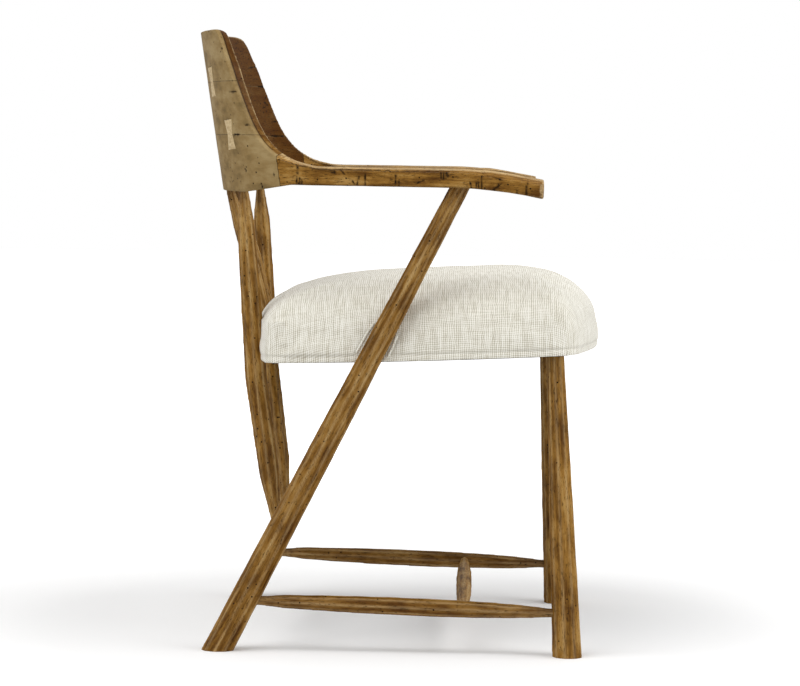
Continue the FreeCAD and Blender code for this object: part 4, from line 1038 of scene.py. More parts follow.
@dataclass(frozen=True)
class Scar:
    """A cut across the grain, dark with glaze, in millimetres of depth and height.

    On an arm the heights are shares of the arm's side, on the back they are heights over the floor.
    """

    start: tuple[float, float]
    end: tuple[float, float]
    half_width: float = 1.3
    ragged: float = 0.45
    waves: float = 9.0
    core: float = 1.25

    def darkness(self, y: np.ndarray, z: np.ndarray, unit: float) -> np.ndarray:
        """How dark the cut is at points, from 0 to 1.

        Args:
            y: Depths in millimetres.
            z: Heights in the scar's own measure.
            unit: Millimetres in one of those.

        Returns:
            One number per point.
        """
        first = np.array([self.start[0], self.start[1] * unit])
        last = np.array([self.end[0], self.end[1] * unit])
        run = last - first
        spot = np.stack([y, z * unit], axis=1) - first
        share = np.clip(spot @ run / (run @ run), 0, 1)
        gap = np.linalg.norm(spot - share[:, None] * run, axis=1)
        gap = gap + self.ragged * np.sin(share * self.waves + first[0])
        return np.clip(self.core - gap / self.half_width, 0, 1)


def upright(y: float, low: float, high: float, lean: float = 0.0) -> Scar:
    """A nick on the side of an arm, between two shares of its height."""
    return Scar((y, low), (y + lean, high))


ARM_SCARS = (
    upright(131, 0.50, 0.90), upright(132, 0.00, 0.34), upright(128, 0.00, 0.28),
    upright(125, 0.02, 0.20), upright(90, 0.86, 0.74, -8), upright(86, 0.70, 0.66, -5),
    upright(74, 0.82, 0.60, -5), upright(53, 0.0, 0.5, -3), upright(56, 0.10, 0.30, 3),
    upright(42, 0.0, 0.64), upright(2, 0.10, 0.58), upright(-2, 0.0, 0.34),
    upright(-24, 0.18, 0.36, -10), upright(-46, 0.97, 0.86, -7), upright(-57, 0.50, 1.0),
    upright(-60, 0.42, 1.0, -1), upright(-63, 0.48, 1.0, -1), upright(-66, 0.55, 0.98),
    upright(-97, 0.0, 0.34, 2), upright(-102, 0.0, 0.42, -2), upright(-106, 0.0, 0.36),
    upright(-110, 0.03, 0.94), upright(-124, 0.0, 0.36, -8), upright(-126, 0.06, 0.40, -9),
    upright(-127, 0.70, 0.60, -9), upright(-156, 0.0, 0.20), upright(-167, 0.0, 0.98, -3),
    upright(-168, 0.0, 0.5))
BACK_OUTER_SCARS = (
    Scar((238, 796), (230, 795.4)), Scar((227, 738), (213, 739)), Scar((203, 694.5), (195, 695.5)),
    Scar((222, 753), (208, 753)), Scar((219, 682), (212, 682)), Scar((236, 813), (236, 807), 1.0),
    Scar((204, 637), (202, 634), 1.0), Scar((178, 612), (180, 618), 1.0),
    Scar((163, 632), (162, 628), 1.0))
BACK_INNER_SCARS = (
    Scar((227, 779), (219, 781)), Scar((214, 753), (204, 753)), Scar((195, 702), (187, 704)),
    Scar((196, 682), (180, 682)), Scar((205, 730), (201, 726), 1.0), Scar((208, 722), (204, 724), 1.0),
    Scar((60, 640), (60, 655)), Scar((150, 665), (140, 666)))


@dataclass
class BackAndArms:
    """Three stacked boards, two arms and the butterfly keys.

    All are worn down together as one shell and then parted at their seams, so that the seams stay
    flush. A pair of lengths is where something starts and the run over which it grows, or the place
    and width of a line.
    """

    nodes: dict
    line: PlanLine = field(default_factory=PlanLine)
    merge_mm: float = 0.002
    voxel_mm: float = 1.7
    wear_rounds: int = 4
    dent_mm: float = 0.3
    dent_grain_mm: float = 34.0
    seam_turn: float = math.radians(64)
    seam_mm: tuple[float, float] = (682.0, 753.0)
    seam_line_mm: float = 0.05
    seam_dark: float = 0.6
    arm_seam_line_mm: float = 0.3
    arm_seam_dark: float = 0.85
    # Crown of the arms' tops, droop of their fronts, slant of their ends, rounding of the wings.
    crown_mm: float = 4.5
    crown_most: float = 1.1
    crown_height_mm: tuple[float, float] = (620.0, 16.0)
    crown_start_share: float = 0.12
    arm_half_mm: tuple[float, float] = (10.0, 27.0)
    droop_mm: tuple[float, float, float] = (110.0, 83.0, 11.0)
    droop_ease_mm: float = 34.0
    droop_more_mm: float = 3.0
    droop_power: float = 1.7
    end_mm: tuple[float, float] = (165.0, 28.0)
    end_height_mm: tuple[float, float] = (616.0, 11.0)
    end_slant_mm: float = 2.2
    end_most: float = 1.2
    wing_mm: tuple[float, float] = (247.0, 21.0)
    wing_height_mm: tuple[float, float] = (765.0, 55.0)
    wing_fall_mm: float = 12.0
    wing_most: float = 1.2
    # Scars, dark lines, rubbed edges, painted highlights on edges, painted reflection and painted shade.
    profile_step_mm: float = 4.0
    scar_depth_mm: float = 0.5
    scar_facing: float = 0.6
    arm_side_mm: float = 25.0
    least_side_mm: float = 1.0
    line_dark: float = 0.9
    bead_mm: tuple[float, float] = (3.8, 1.2)
    foot_mm: float = 2.5
    foot_facing: float = 0.4
    foot_dark: float = 0.7
    # Painted highlight along the arms' top edges.
    top_highlight_mm: tuple[float, float] = (2.2, 1.0)
    top_highlight: float = 0.8
    top_facing: float = 0.05
    end_edge_mm: float = 172.0
    end_facing: tuple[float, float] = (0.3, 0.92)
    edge_line_mm: tuple[float, float] = (2.0, 1.1)
    edge_facing: float = 0.7
    edge_rise: tuple[float, float] = (-0.2, 0.8)
    # Painted highlight along the inner corner of the boards' edge bands.
    rim_line_mm: tuple[float, float] = (8.8, 1.3)
    rim_facing: tuple[float, float] = (-0.93, -0.1)
    rim_highlight: float = 0.9
    # Run over which the outer faces' grey wash and painted reflection come in.
    smoke_and_reflection_run_mm: float = 1.5
    # Painted shade on the boards' inner faces and edge bands.
    inside_stain: float = 0.85
    inside_facing: tuple[float, float] = (0.3, 0.6)
    board_shift: tuple[float, float, float] = (0.41, 0.23, 0.11)
    arm_shift: float = 4.0
    probe_mm: float = 0.5
    key_edge_mm: float = 0.4
    key_room_mm: float = 3.0
    key_middle_mm: float = 6.0
    key_crease: float = math.radians(30)

    def copy(self, node: str, name: str) -> bpy.types.Object:
        """Copies a CAD node into a new object with merged corners.

        Args:
            node: CAD node name.
            name: Name of the copy.

        Returns:
            The copy.
        """
        piece = self.nodes[node].copy()
        piece.data = self.nodes[node].data.copy()
        piece.parent = None
        piece.matrix_world = Matrix.Identity(4)
        bpy.context.collection.objects.link(piece)
        only(piece)
        active_named(name)
        with editing(piece):
            bpy.ops.mesh.remove_doubles(threshold=self.merge_mm * MM)
        return piece

    def shell(self) -> bpy.types.Object:
        """Joins copies of the boards, arms and keys and wears them down as one.

        Returns:
            The worn shell.
        """
        names = ["back_board_upper", "back_board_middle", "back_board_lower", "arm_left", "arm_right",
                 "butterfly_keys"]
        stock = [self.copy(node, f"{node}_stock") for node in names]
        only(stock[0])
        for piece in stock:
            piece.select_set(True)
        bpy.ops.object.join()
        whole = active_named("back_and_arms_shell")
        modify(whole, "REMESH", mode="VOXEL", voxel_size=self.voxel_mm * MM)
        modify(whole, "SMOOTH", factor=0.5, iterations=self.wear_rounds)
        modify(whole, "DISPLACE", texture=cloud("board_dents", self.dent_grain_mm), texture_coords="LOCAL",
               strength=2 * self.dent_mm * MM, mid_level=0.5)
        return whole

    def crown(self, whole: bpy.types.Object) -> None:
        """Crowns the arms' tops, eases their droop, slants their ends and rounds the wings' tops.

        Args:
            whole: The worn shell.
        """
        rows = places(whole)
        along, up, out = self.line.grain(rows).T
        along = np.abs(along)
        start = self.line.arm_start()
        span = np.clip((along - start) / (along.max() - start), 0, 1)
        half = (self.arm_half_mm[0] + (self.arm_half_mm[1] - self.arm_half_mm[0]) * span) * MM
        level = ramp(up, self.crown_height_mm[0] * MM, self.crown_height_mm[1] * MM)
        drop = self.crown_mm * MM * np.clip(out / half, -self.crown_most, self.crown_most) ** 2 * level
        rows[:, 2] -= drop * np.clip(span / self.crown_start_share, 0, 1)
        # The CAD's straight droop is taken out and a curved one put in.
        bend_at, length, fall = self.droop_mm
        straight = fall * np.clip((-bend_at * MM - rows[:, 1]) / (length * MM), 0, None)
        early = (bend_at - self.droop_ease_mm) * MM
        share = np.clip((-early - rows[:, 1]) / ((length + self.droop_ease_mm) * MM), 0, None)
        curved = (fall + self.droop_more_mm) * share ** self.droop_power
        rows[:, 2] -= (curved - straight) * MM * (span > 0)
        near_end = ramp(-rows[:, 1], self.end_mm[0] * MM, self.end_mm[1] * MM) * (span > 0)
        middle, reach = self.end_height_mm
        upper = np.clip((rows[:, 2] - middle * MM) / (reach * MM), -self.end_most, self.end_most)
        rows[:, 1] -= near_end * upper * self.end_slant_mm * MM
        tip, run = self.wing_mm
        round_off = np.clip((tip * MM - rows[:, 1]) / (run * MM), 0, self.wing_most) ** 2
        high = ramp(rows[:, 2], self.wing_height_mm[0] * MM, self.wing_height_mm[1] * MM) ** 2
        rows[:, 2] -= self.wing_fall_mm * MM * round_off * high
        put(whole, rows)

    def seam_plane(self, side: Side) -> tuple[Vector, Vector]:
        """Finds the seam of back and arm.

        Args:
            side: Which arm.

        Returns:
            A point of the seam and its normal, towards the arm.
        """
        point = self.line.corner_point(self.seam_turn)
        out = Vector((math.sin(self.seam_turn), math.cos(self.seam_turn), 0))
        ahead = Vector((math.cos(self.seam_turn), -math.sin(self.seam_turn), 0))
        normal = out.cross(Vector((0, self.line.lean, 1))).normalized()
        if normal.dot(ahead) < 0:
            normal.negate()
        hand = Vector((side.value, 1, 1))
        return point * hand, normal * hand

    @staticmethod
    def part(whole: bpy.types.Object, name: str, planes: list[tuple[Vector, Vector]]) -> bpy.types.Object:
        """Saws one board or arm out of a copy of the shell.

        Args:
            whole: The worn shell.
            name: Name of the new piece.
            planes: Points and normals of the cuts; what lies behind the normals is kept.

        Returns:
            The piece.
        """
        piece = whole.copy()
        piece.data = whole.data.copy()
        bpy.context.collection.objects.link(piece)
        only(piece)
        active_named(name)
        for point, normal in planes:
            with editing(piece):
                bpy.ops.mesh.bisect(plane_co=point, plane_no=normal, use_fill=True, clear_outer=True)
        return piece

    def profile(self, along: np.ndarray, up: np.ndarray) -> tuple[np.ndarray, np.ndarray]:
        """Finds the lowest and highest point of an arm at each vertex's place along it.

        Args:
            along: Places along the arm.
            up: Heights.

        Returns:
            The two heights for each vertex.
        """
        bins = np.round(np.abs(along) / (self.profile_step_mm * MM)).astype(int)
        low = np.full(bins.max() + 1, np.inf)
        high = np.full(bins.max() + 1, -np.inf)
        np.minimum.at(low, bins, up)
        np.maximum.at(high, bins, up)
        return low[bins], high[bins]

    def facing(self, piece: bpy.types.Object) -> tuple[np.ndarray, np.ndarray]:
        """Finds which way a piece's surface faces.

        Args:
            piece: A board or arm.

        Returns:
            Vertex normals, and how far each faces out from the plan line.
        """
        normals = places(piece, "normal")
        step = self.probe_mm * MM
        rows = places(piece)
        here = self.line.grain(rows)[:, 2]
        return normals, (self.line.grain(rows + normals * step)[:, 2] - here) / step

    def arm_wear_and_highlights(self, piece: bpy.types.Object) -> tuple[np.ndarray, np.ndarray, np.ndarray]:
        """Works out the scars, dark lines, painted highlight along the top edge and pale front end faces of
        an arm.

        Args:
            piece: The arm.

        Returns:
            Three numbers per vertex, each from 0 to 1.
        """
        rows = places(piece)
        normals, facing = self.facing(piece)
        along, up, _ = self.line.grain(rows).T
        low, high = self.profile(along, up)
        y = rows[:, 1] / MM
        share = (up - low) / np.maximum(high - low, self.least_side_mm * MM)
        scars = self.darkest(ARM_SCARS, y, share, self.arm_side_mm) * (facing > self.scar_facing)
        below, width = self.bead_mm
        bead = bell(high - up - below * MM, width * MM) * (np.abs(facing) > self.scar_facing) * self.line_dark
        foot = np.clip(1 - (up - low) / (self.foot_mm * MM), 0, 1)
        foot = foot * (np.abs(facing) > self.foot_facing) * self.foot_dark
        # Painted highlight along the top edge; end faces near the front are drawn pale.
        below, width = self.top_highlight_mm
        edge = self.top_highlight * np.clip(1 - (high - up - below * MM) / (width * MM), 0, 1)
        edge = edge * (normals[:, 2] > self.top_facing)
        ahead = np.abs(normals[:, 1])
        end = (ahead > self.end_facing[0]) & (ahead < self.end_facing[1]) & (y < -self.end_edge_mm)
        return scars, np.maximum(bead, foot), np.maximum(edge, end * 1.0)

    def board_wear_and_highlights(self, piece: bpy.types.Object) -> tuple[np.ndarray, np.ndarray, np.ndarray]:
        """Works out the scars, dark lines and painted highlight along the edge bands of a board.

        Args:
            piece: The board.

        Returns:
            Three numbers per vertex, each from 0 to 1.
        """
        rows = places(piece)
        normals, facing = self.facing(piece)
        _, up, out = self.line.grain(rows).T
        y, rise = rows[:, 1] / MM, normals[:, 2]
        outer = self.darkest(BACK_OUTER_SCARS, y, up / MM, 1.0) * (facing > self.scar_facing)
        inner = self.darkest(BACK_INNER_SCARS, y, up / MM, 1.0) * (facing < -self.scar_facing)
        edge = (np.abs(facing) < self.edge_facing) & (rise > self.edge_rise[0]) & (rise < self.edge_rise[1])
        at, width = self.edge_line_mm
        lines = bell(out - at * MM, width * MM) * edge * self.line_dark
        # Painted highlight along the inner corner of the edge band.
        rim = (facing > self.rim_facing[0]) & (facing < self.rim_facing[1]) & (rise > self.edge_rise[0])
        at, width = self.rim_line_mm
        return np.maximum(outer, inner), lines, bell(out + at * MM, width * MM) * rim * self.rim_highlight

    @staticmethod
    def darkest(scars: tuple, y: np.ndarray, height: np.ndarray, unit: float) -> np.ndarray:
        """How dark the darkest of some scars is at points."""
        return np.max([each.darkness(y, height, unit) for each in scars], axis=0)

    def dress_wood(
            self, piece: bpy.types.Object, node: str, arm: bool, shift: float,
            wood: bpy.types.Material) -> None:
        """Cuts the scars, marks grain, painted reflection, painted shade, painted highlights and glaze on a
        board or arm and dresses it.

        Args:
            piece: The sawn piece.
            node: CAD node that it stands for.
            arm: Whether it is an arm.
            shift: Moves the grain, so that no two pieces are alike.
            wood: The wood finish.
        """
        scars, lines, edges = self.arm_wear_and_highlights(piece) if arm else self.board_wear_and_highlights(piece)
        normals = places(piece, "normal")
        put(piece, places(piece) - normals * (scars * self.scar_depth_mm * MM)[:, None])
        # Pale edges: painted highlights, and on the arms also the pale front end faces.
        mark(piece, "edge_wear_and_highlight", edges)
        glaze = np.maximum(scars, lines)
        rows = self.line.grain(places(piece))
        _, facing = self.facing(piece)
        point, normal = self.seam_plane(Side.RIGHT)
        folded = places(piece) * np.sign(places(piece)[:, :1]) ** np.array([1, 0, 0])
        gap = np.abs((folded - np.array(point)) @ np.array(normal))
        glaze = np.maximum(glaze, (gap < self.arm_seam_line_mm * MM) * self.arm_seam_dark)
        if not arm:
            # The outer faces take the grey wash and painted reflection.
            mark(piece, "smoke_and_reflection", ramp(rows[:, 2], self.edge_line_mm[0] * MM, self.smoke_and_reflection_run_mm * MM))
            # The inner faces and edge bands are darkened as painted shade.
            most, run = self.inside_facing
            mark(piece, "stain", self.inside_stain * np.clip((most - facing) / run, 0, 1))
            seam = np.min([np.abs(rows[:, 1] - seam * MM) for seam in self.seam_mm], axis=0)
            glaze = np.maximum(glaze, (seam < self.seam_line_mm * MM) * self.seam_dark)
        mark(piece, "glaze", glaze)
        mark(piece, "grain", rows + np.array(self.board_shift) * shift)
        dress(piece, wood, "driftwood", node)

    def keys(self, key_wood: bpy.types.Material) -> bpy.types.Object:
        """Makes the keys.

        Args:
            key_wood: The keys' finish.

        Returns:
            A longer copy that cuts their pockets.
        """
        keys = self.copy("butterfly_keys", "butterfly_keys_inlaid")
        cutter = self.copy("butterfly_keys", "key_cutter")
        rows = places(cutter)
        out = self.line.grain(rows)[:, 2]
        step = self.probe_mm * MM
        slopes = [(self.line.grain(rows + np.eye(3)[i] * step)[:, 2] - out) / step for i in (0, 1)]
        outer = (out > self.key_middle_mm * MM) * self.key_room_mm * MM
        rows[:, 0] += outer * slopes[0]
        rows[:, 1] += outer * slopes[1]
        put(cutter, rows)
        modify(keys, "BEVEL", width=self.key_edge_mm * MM, segments=2, limit_method="ANGLE")
        dress(keys, key_wood, "key_wood", "butterfly_keys")
        only(keys)
        bpy.ops.object.shade_smooth_by_angle(angle=self.key_crease)
        return cutter

    def build(self, wood: bpy.types.Material, key_wood: bpy.types.Material) -> None:
        """Makes the boards, arms and keys.

        Args:
            wood: Finish of boards and arms.
            key_wood: Finish of the keys.
        """
        whole = self.shell()
        self.crown(whole)
        cutter = self.keys(key_wood)
        up, down = Vector((0, 0, 1)), Vector((0, 0, -1))
        low, high = (Vector((0, 0, height * MM)) for height in self.seam_mm)
        seams = {side: self.seam_plane(side) for side in Side}
        boards = {
            "upper": [(high, down)],
            "middle": [(high, up), (low, down)],
            "lower": [(low, up)] + [seams[side] for side in Side],
        }
        for number, (level, planes) in enumerate(boards.items()):
            node = f"back_board_{level}"
            piece = self.part(whole, f"{node}_worn", planes)
            modify(piece, "BOOLEAN", operation="DIFFERENCE", object=cutter, solver="EXACT")
            self.dress_wood(piece, node, False, number + 1.0, wood)
        for side in Side:
            node = f"arm_{side.word}"
            point, normal = seams[side]
            middle = (Vector((0, 0, 0)), Vector((-side.value, 0, 0)))
            piece = self.part(whole, f"{node}_worn", [(point, -normal), middle])
            self.dress_wood(piece, node, True, self.arm_shift + side.value, wood)
        for scrap in (whole, cutter):
            bpy.data.objects.remove(scrap)


# Seat.
@dataclass
class Seat:
    """Upholstered seat: stuffed linen cushion, hem band, rolled slit edges and dust cloth.

    A level is a rising outline of the cushion: its share of the height, then its shares of the width
    and of the reach to the rear and to the front.
    """

    legs: Underframe = field(default_factory=Underframe)
    plane: float = 387.4 * MM
    tilt: float = math.radians(2.7)
    rear_half: float = 225 * MM
    front_half: float = 255 * MM
    side_half: float = 262 * MM
    rear_corner: float = 178 * MM
    front_corner: float = 247 * MM
    rear_reach: float = 195 * MM
    front_reach: float = 277 * MM
    rear_radius: float = 30 * MM
    front_radius: float = 45 * MM
    rear_corner_points: int = 8
    side_points: int = 30
    front_corner_points: int = 10
    front_points: int = 36
    rear_points: int = 32
    fine: int = 2
    # Stuffed cushion.
    crown_height: float = 108 * MM
    crown_reach: float = 100 * MM
    shrink: float = 0.2 * MM
    voxel: float = 5 * MM
    smooth_rounds: int = 4
    levels: tuple = (
        (0.000, 0.990, 0.990, 0.985), (0.090, 0.998, 0.998, 0.998), (0.360, 1.000, 1.000, 1.000),
        (0.480, 0.992, 0.998, 0.992), (0.580, 0.977, 0.984, 0.965), (0.680, 0.953, 0.955, 0.920),
        (0.760, 0.922, 0.912, 0.872), (0.835, 0.870, 0.833, 0.812), (0.895, 0.800, 0.736, 0.735),
        (0.935, 0.710, 0.640, 0.622), (0.965, 0.590, 0.525, 0.507), (0.985, 0.450, 0.400, 0.380),
        (1.000, 0.280, 0.240, 0.220))
    frames: int = 20
    pressure: float = 4.0
    cloth_quality: int = 5
    cloth_mass: float = 0.3
    cloth_stiffness: float = 2.0
    pin_height: float = 8 * MM
    cap: float = 3 * MM
    lump_grain_mm: float = 70.0
    lump: float = 2.0 * MM
    # Way of the raking legs through the cushion, and cover of the wooden frame.
    leg_room: float = 0.15 * MM
    shoulder: float = 7 * MM
    shoulder_low: float = 2.5 * MM
    shoulder_start: tuple[float, float] = (8 * MM, 30 * MM)
    shoulder_wide: float = 13 * MM
    shoulder_deep: float = 24 * MM
    frame_top: float = 60 * MM
    frame_fade: float = 25 * MM
    frame_cover: float = 9 * MM
    rear_cover: float = 3 * MM
    cover_level: tuple = (0.2, 1.0, 1.0, 1.0)
    cover_low: float = 1 * MM
    cover_ease: float = 5 * MM
    cover_slope: float = 1.4
    cover_deep: float = 45 * MM
    batch: int = 4000
    # Weave of the cloth, painted shade in its folds beside the legs and painted shadow over the hem band.
    turned_run: float = 0.4
    top_facing: tuple[float, float] = (0.85, 0.3)
    fold_reach: float = 6 * MM
    fold_height: float = 46 * MM
    fold_fade: float = 12 * MM
    fold_width: float = 1.4 * MM
    fold_side: float = 0.2
    fold_shade_depth: float = 0.6
    hem_height: float = 10 * MM
    hem_width: float = 1.6 * MM
    hem_shadow: float = 0.35
    # Hem band, with its section as reach and height in millimetres.
    hem_inset: float = 0.8 * MM
    hem_level: tuple = (0.04, 0.994, 0.994, 0.992)
    hem_section: tuple = (
        (0.0, 0.4), (0.6, 1.2), (0.8, 4.5), (0.6, 8.0), (0.0, 9.0), (-3.0, 8.6), (-3.0, 0.6))
    # Rolled edges of the slits.
    piping_radius: float = 1.9 * MM
    piping_gap: float = 2.0 * MM
    piping_low: float = 1.5 * MM
    piping_high: float = 42 * MM
    piping_ease: float = 16 * MM
    piping_rings: int = 18
    piping_sides: int = 10
    piping_probe: float = 0.1
    # Dust cloth, as rings drawn in from its edge.
    cloth_setback: float = 8 * MM
    cloth_sag: float = 2.5 * MM
    cloth_below: float = 0.6 * MM
    cloth_rings: tuple = (1.0, 0.99, 0.97, 0.94, 0.90, 0.85, 0.78, 0.70, 0.60, 0.48, 0.35, 0.20, 0.08)

    @staticmethod
    def arc(first: tuple, middle: tuple, last: tuple, count: int) -> list[tuple[float, float]]:
        """Finds points of the arc through three points.

        Args:
            first: Where the arc starts.
            middle: A point on the way.
            last: Where it ends; this point is left out.
            count: How many points.

        Returns:
            The points.
        """
        ax, ay = first
        bx, by = middle
        cx, cy = last
        d = 2 * (ax * (by - cy) + bx * (cy - ay) + cx * (ay - by))
        a2, b2, c2 = ax * ax + ay * ay, bx * bx + by * by, cx * cx + cy * cy
        ux = (a2 * (by - cy) + b2 * (cy - ay) + c2 * (ay - by)) / d
        uy = (a2 * (cx - bx) + b2 * (ax - cx) + c2 * (bx - ax)) / d
        radius = math.hypot(ax - ux, ay - uy)
        start = math.atan2(ay - uy, ax - ux)
        sweep = math.atan2(cy - uy, cx - ux) - start
        sweep = (sweep + math.pi) % math.tau - math.pi
        turns = [start + sweep * i / count for i in range(count)]
        return [(ux + radius * math.cos(t), uy + radius * math.sin(t)) for t in turns]

    def outline(self, inset: float = 0.0, density: int = 1) -> np.ndarray:
        """Draws the plan outline of the seat.

        Args:
            inset: How far the outline is drawn in.
            density: Multiplies the number of points.

        Returns:
            Points in metres.
        """
        rx, fx = self.rear_half - inset, self.front_half - inset
        ry, fy = self.rear_corner - inset, inset - self.front_corner
        rr, fr = self.rear_radius, self.front_radius
        bend = 2 - math.sqrt(2)
        rear_end, rear_side = (rx - rr, ry), (rx, ry - rr)
        front_side, front_end = (fx, fy + fr), (fx - fr, fy)
        rear_mid = (rx - rr / 2 * bend, ry - rr / 2 * bend)
        front_mid = (fx - fr / 2 * bend, fy + fr / 2 * bend)
        side_mid = (self.side_half - inset, (ry + fy) / 2)
        right = [
            (rear_end, rear_mid, rear_side, self.rear_corner_points),
            (rear_side, side_mid, front_side, self.side_points),
            (front_side, front_mid, front_end, self.front_corner_points)]
        front = (front_end, (0, inset - self.front_reach), (-front_end[0], front_end[1]), self.front_points)
        left = []
        for first, middle, last, count in reversed(right):
            left.append((*[(-p[0], p[1]) for p in (last, middle, first)], count))
        rear = ((-rear_end[0], rear_end[1]), (0, self.rear_reach - inset), rear_end, self.rear_points)
        points = []
        for first, middle, last, count in [*right, front, *left, rear]:
            points += self.arc(first, middle, last, count * density)
        return np.array(points)

    @staticmethod
    def outward(line: np.ndarray) -> np.ndarray:
        """Finds the outward directions of a closed line in plan.

        Args:
            line: Points of the line.

        Returns:
            One direction per point.
        """
        ahead = np.roll(line, -1, axis=0) - np.roll(line, 1, axis=0)
        out = np.stack([ahead[:, 1], -ahead[:, 0]], axis=1)
        out /= np.linalg.norm(out, axis=1, keepdims=True)
        return -out if np.sum((line - line.mean(axis=0)) * out) < 0 else out

    @staticmethod
    def wall(count: int, rings: int, first: int = 0) -> list[tuple]:
        """Lists the faces between rings of points that follow one another.

        Args:
            count: Points in a ring.
            rings: How many rings.
            first: Number of the first point.

        Returns:
            The numbers of the points of each face.
        """
        faces = []
        for ring in range(rings - 1):
            faces += ring_faces(count, first + ring * count, first + (ring + 1) * count)
        return faces

    def tilted(self, rows: np.ndarray) -> np.ndarray:
        """Sets flat seat points at the seat's tilt.

        Args:
            rows: Points over the seat's underside.

        Returns:
            The points over the floor.
        """
        c, s = math.cos(self.tilt), math.sin(self.tilt)
        y, z = rows[:, 1], rows[:, 2]
        return np.stack([rows[:, 0], y * c + z * s, self.plane - y * s + z * c], axis=1)

    def height(self, rows: np.ndarray) -> np.ndarray:
        """Height of points over the seat's underside."""
        return (rows[:, 2] - self.plane) * math.cos(self.tilt) + rows[:, 1] * math.sin(self.tilt)

    def level(self, share: tuple, inset: float, density: int = 1) -> np.ndarray:
        """Draws one rising outline of the cushion.

        Args:
            share: The level's shares.
            inset: How far the outline is drawn in.
            density: Multiplies the number of points.

        Returns:
            Points in metres.
        """
        high, width, rear, front = share
        flat = self.outline(inset, density)
        spread = flat[:, 1] + self.crown_reach
        y = np.where(spread > 0, spread * rear, spread * front) - self.crown_reach
        z = np.full(len(flat), high * (self.crown_height - inset))
        return self.tilted(np.stack([flat[:, 0] * width, y, z], axis=1))

    def leg_axis(self, side: Side) -> tuple[np.ndarray, np.ndarray]:
        """Finds the line of a raking leg.

        Args:
            side: Which leg.

        Returns:
            Its foot in metres and its direction.
        """
        foot = np.array(self.legs.rear_foot) * MM
        top = np.array(self.legs.rear_top) * MM
        mirror = np.array([side.value, 1, 1])
        return foot * mirror, (top - foot) * mirror / np.linalg.norm(top - foot)

    def inward(self, side: Side) -> np.ndarray:
        """Finds the direction square to a raking leg, into the seat.

        Args:
            side: Which leg.

        Returns:
            The direction.
        """
        _, run = self.leg_axis(side)
        inward = np.array([-side.value, 0.0, 0.0])
        inward -= run * (inward @ run)
        return inward / np.linalg.norm(inward)

    def beside_leg(self, rows: np.ndarray, side: Side) -> tuple[np.ndarray, np.ndarray, np.ndarray]:
        """Finds the places of points beside a raking leg.

        Args:
            rows: Points in metres.
            side: Which leg.

        Returns:
            How deep into the seat and how far across the leg they lie, and the leg's radius there.
        """
        legs = self.legs
        foot, run = self.leg_axis(side)
        inward = self.inward(side)
        local = rows - foot
        length = (legs.rear_top - legs.rear_foot).length * MM
        share = np.clip(local @ run / length, 0, 1)
        radius = np.interp(share, (0, legs.rear_middle_share, 1), legs.rear_dias) * MM / 2
        return local @ inward, local @ np.cross(run, inward), radius

    def make_way(self, rows: np.ndarray, room: float, shoulder: float = 0.0) -> np.ndarray:
        """Presses points that lie in a raking leg back behind it.

        Args:
            rows: Points in metres.
            room: Gap left round the leg.
            shoulder: How far the cloth beside the leg is drawn in with it.

        Returns:
            The moved points.
        """
        heights = (*self.shoulder_start, self.frame_top, self.frame_top + self.frame_fade)
        for side in Side:
            deep, wide, radius = self.beside_leg(rows, side)
            radius = radius + room
            near = np.abs(wide) < radius
            face = np.sqrt(np.clip(radius ** 2 - wide ** 2, 0, None))
            push = np.where(near & (deep < face), face - deep, 0)
            if shoulder:
                beside = bell(np.clip(np.abs(wide) - radius, 0, None), self.shoulder_wide)
                drawn = (0, self.shoulder_low, self.shoulder_low, shoulder)
                reach = np.interp(self.height(rows), heights, drawn)
                close = bell(np.clip(deep, 0, None), self.shoulder_deep) * (rows[:, 0] * side.value > 0)
                push = np.maximum(push, reach * beside * close)
            rows = rows + push[:, None] * self.inward(side)
        return rows

    def stuffed(self) -> bpy.types.Object:
        """Makes the closed crowned form of the cushion, slightly small, before it is blown up.

        Returns:
            The form.
        """
        rings = [self.level(share, self.shrink) for share in self.levels]
        count = len(rings[0])
        rows = np.concatenate(rings)
        faces = self.wall(count, len(rings))
        faces += [tuple(reversed(range(count))), tuple(range(len(rows) - count, len(rows)))]
        piece = mesh_of("seat_cushion", rows, faces)
        face_out(piece)
        modify(piece, "REMESH", mode="VOXEL", voxel_size=self.voxel)
        modify(piece, "SMOOTH", factor=0.5, iterations=self.smooth_rounds)
        return piece

    def blow_up(self, piece: bpy.types.Object) -> None:
        """Swells the cushion with a short cloth simulation, pinned at its underside.

        Args:
            piece: The stuffed form.
        """
        start = places(piece)
        pinned = piece.vertex_groups.new(name="underside")
        low = np.nonzero(self.height(start) < self.pin_height)[0]
        pinned.add(low.tolist(), 1.0, "REPLACE")
        only(piece)
        cloth = piece.modifiers.new("cloth", "CLOTH")
        settings = cloth.settings
        settings.vertex_group_mass = "underside"
        settings.use_pressure = True
        settings.uniform_pressure_force = self.pressure
        settings.effector_weights.gravity = 0.0
        settings.quality = self.cloth_quality
        settings.mass = self.cloth_mass
        settings.bending_stiffness = self.cloth_stiffness
        cloth.point_cache.frame_end = self.frames
        for frame in range(1, self.frames + 1):
            bpy.context.scene.frame_set(frame)
        only(piece)
        bpy.ops.object.modifier_apply(modifier=cloth.name)
        bpy.context.scene.frame_set(1)
        move = places(piece) - start
        length = np.linalg.norm(move, axis=1, keepdims=True)
        move *= np.minimum(1, self.cap / np.maximum(length, TINY))
        put(piece, start + move)

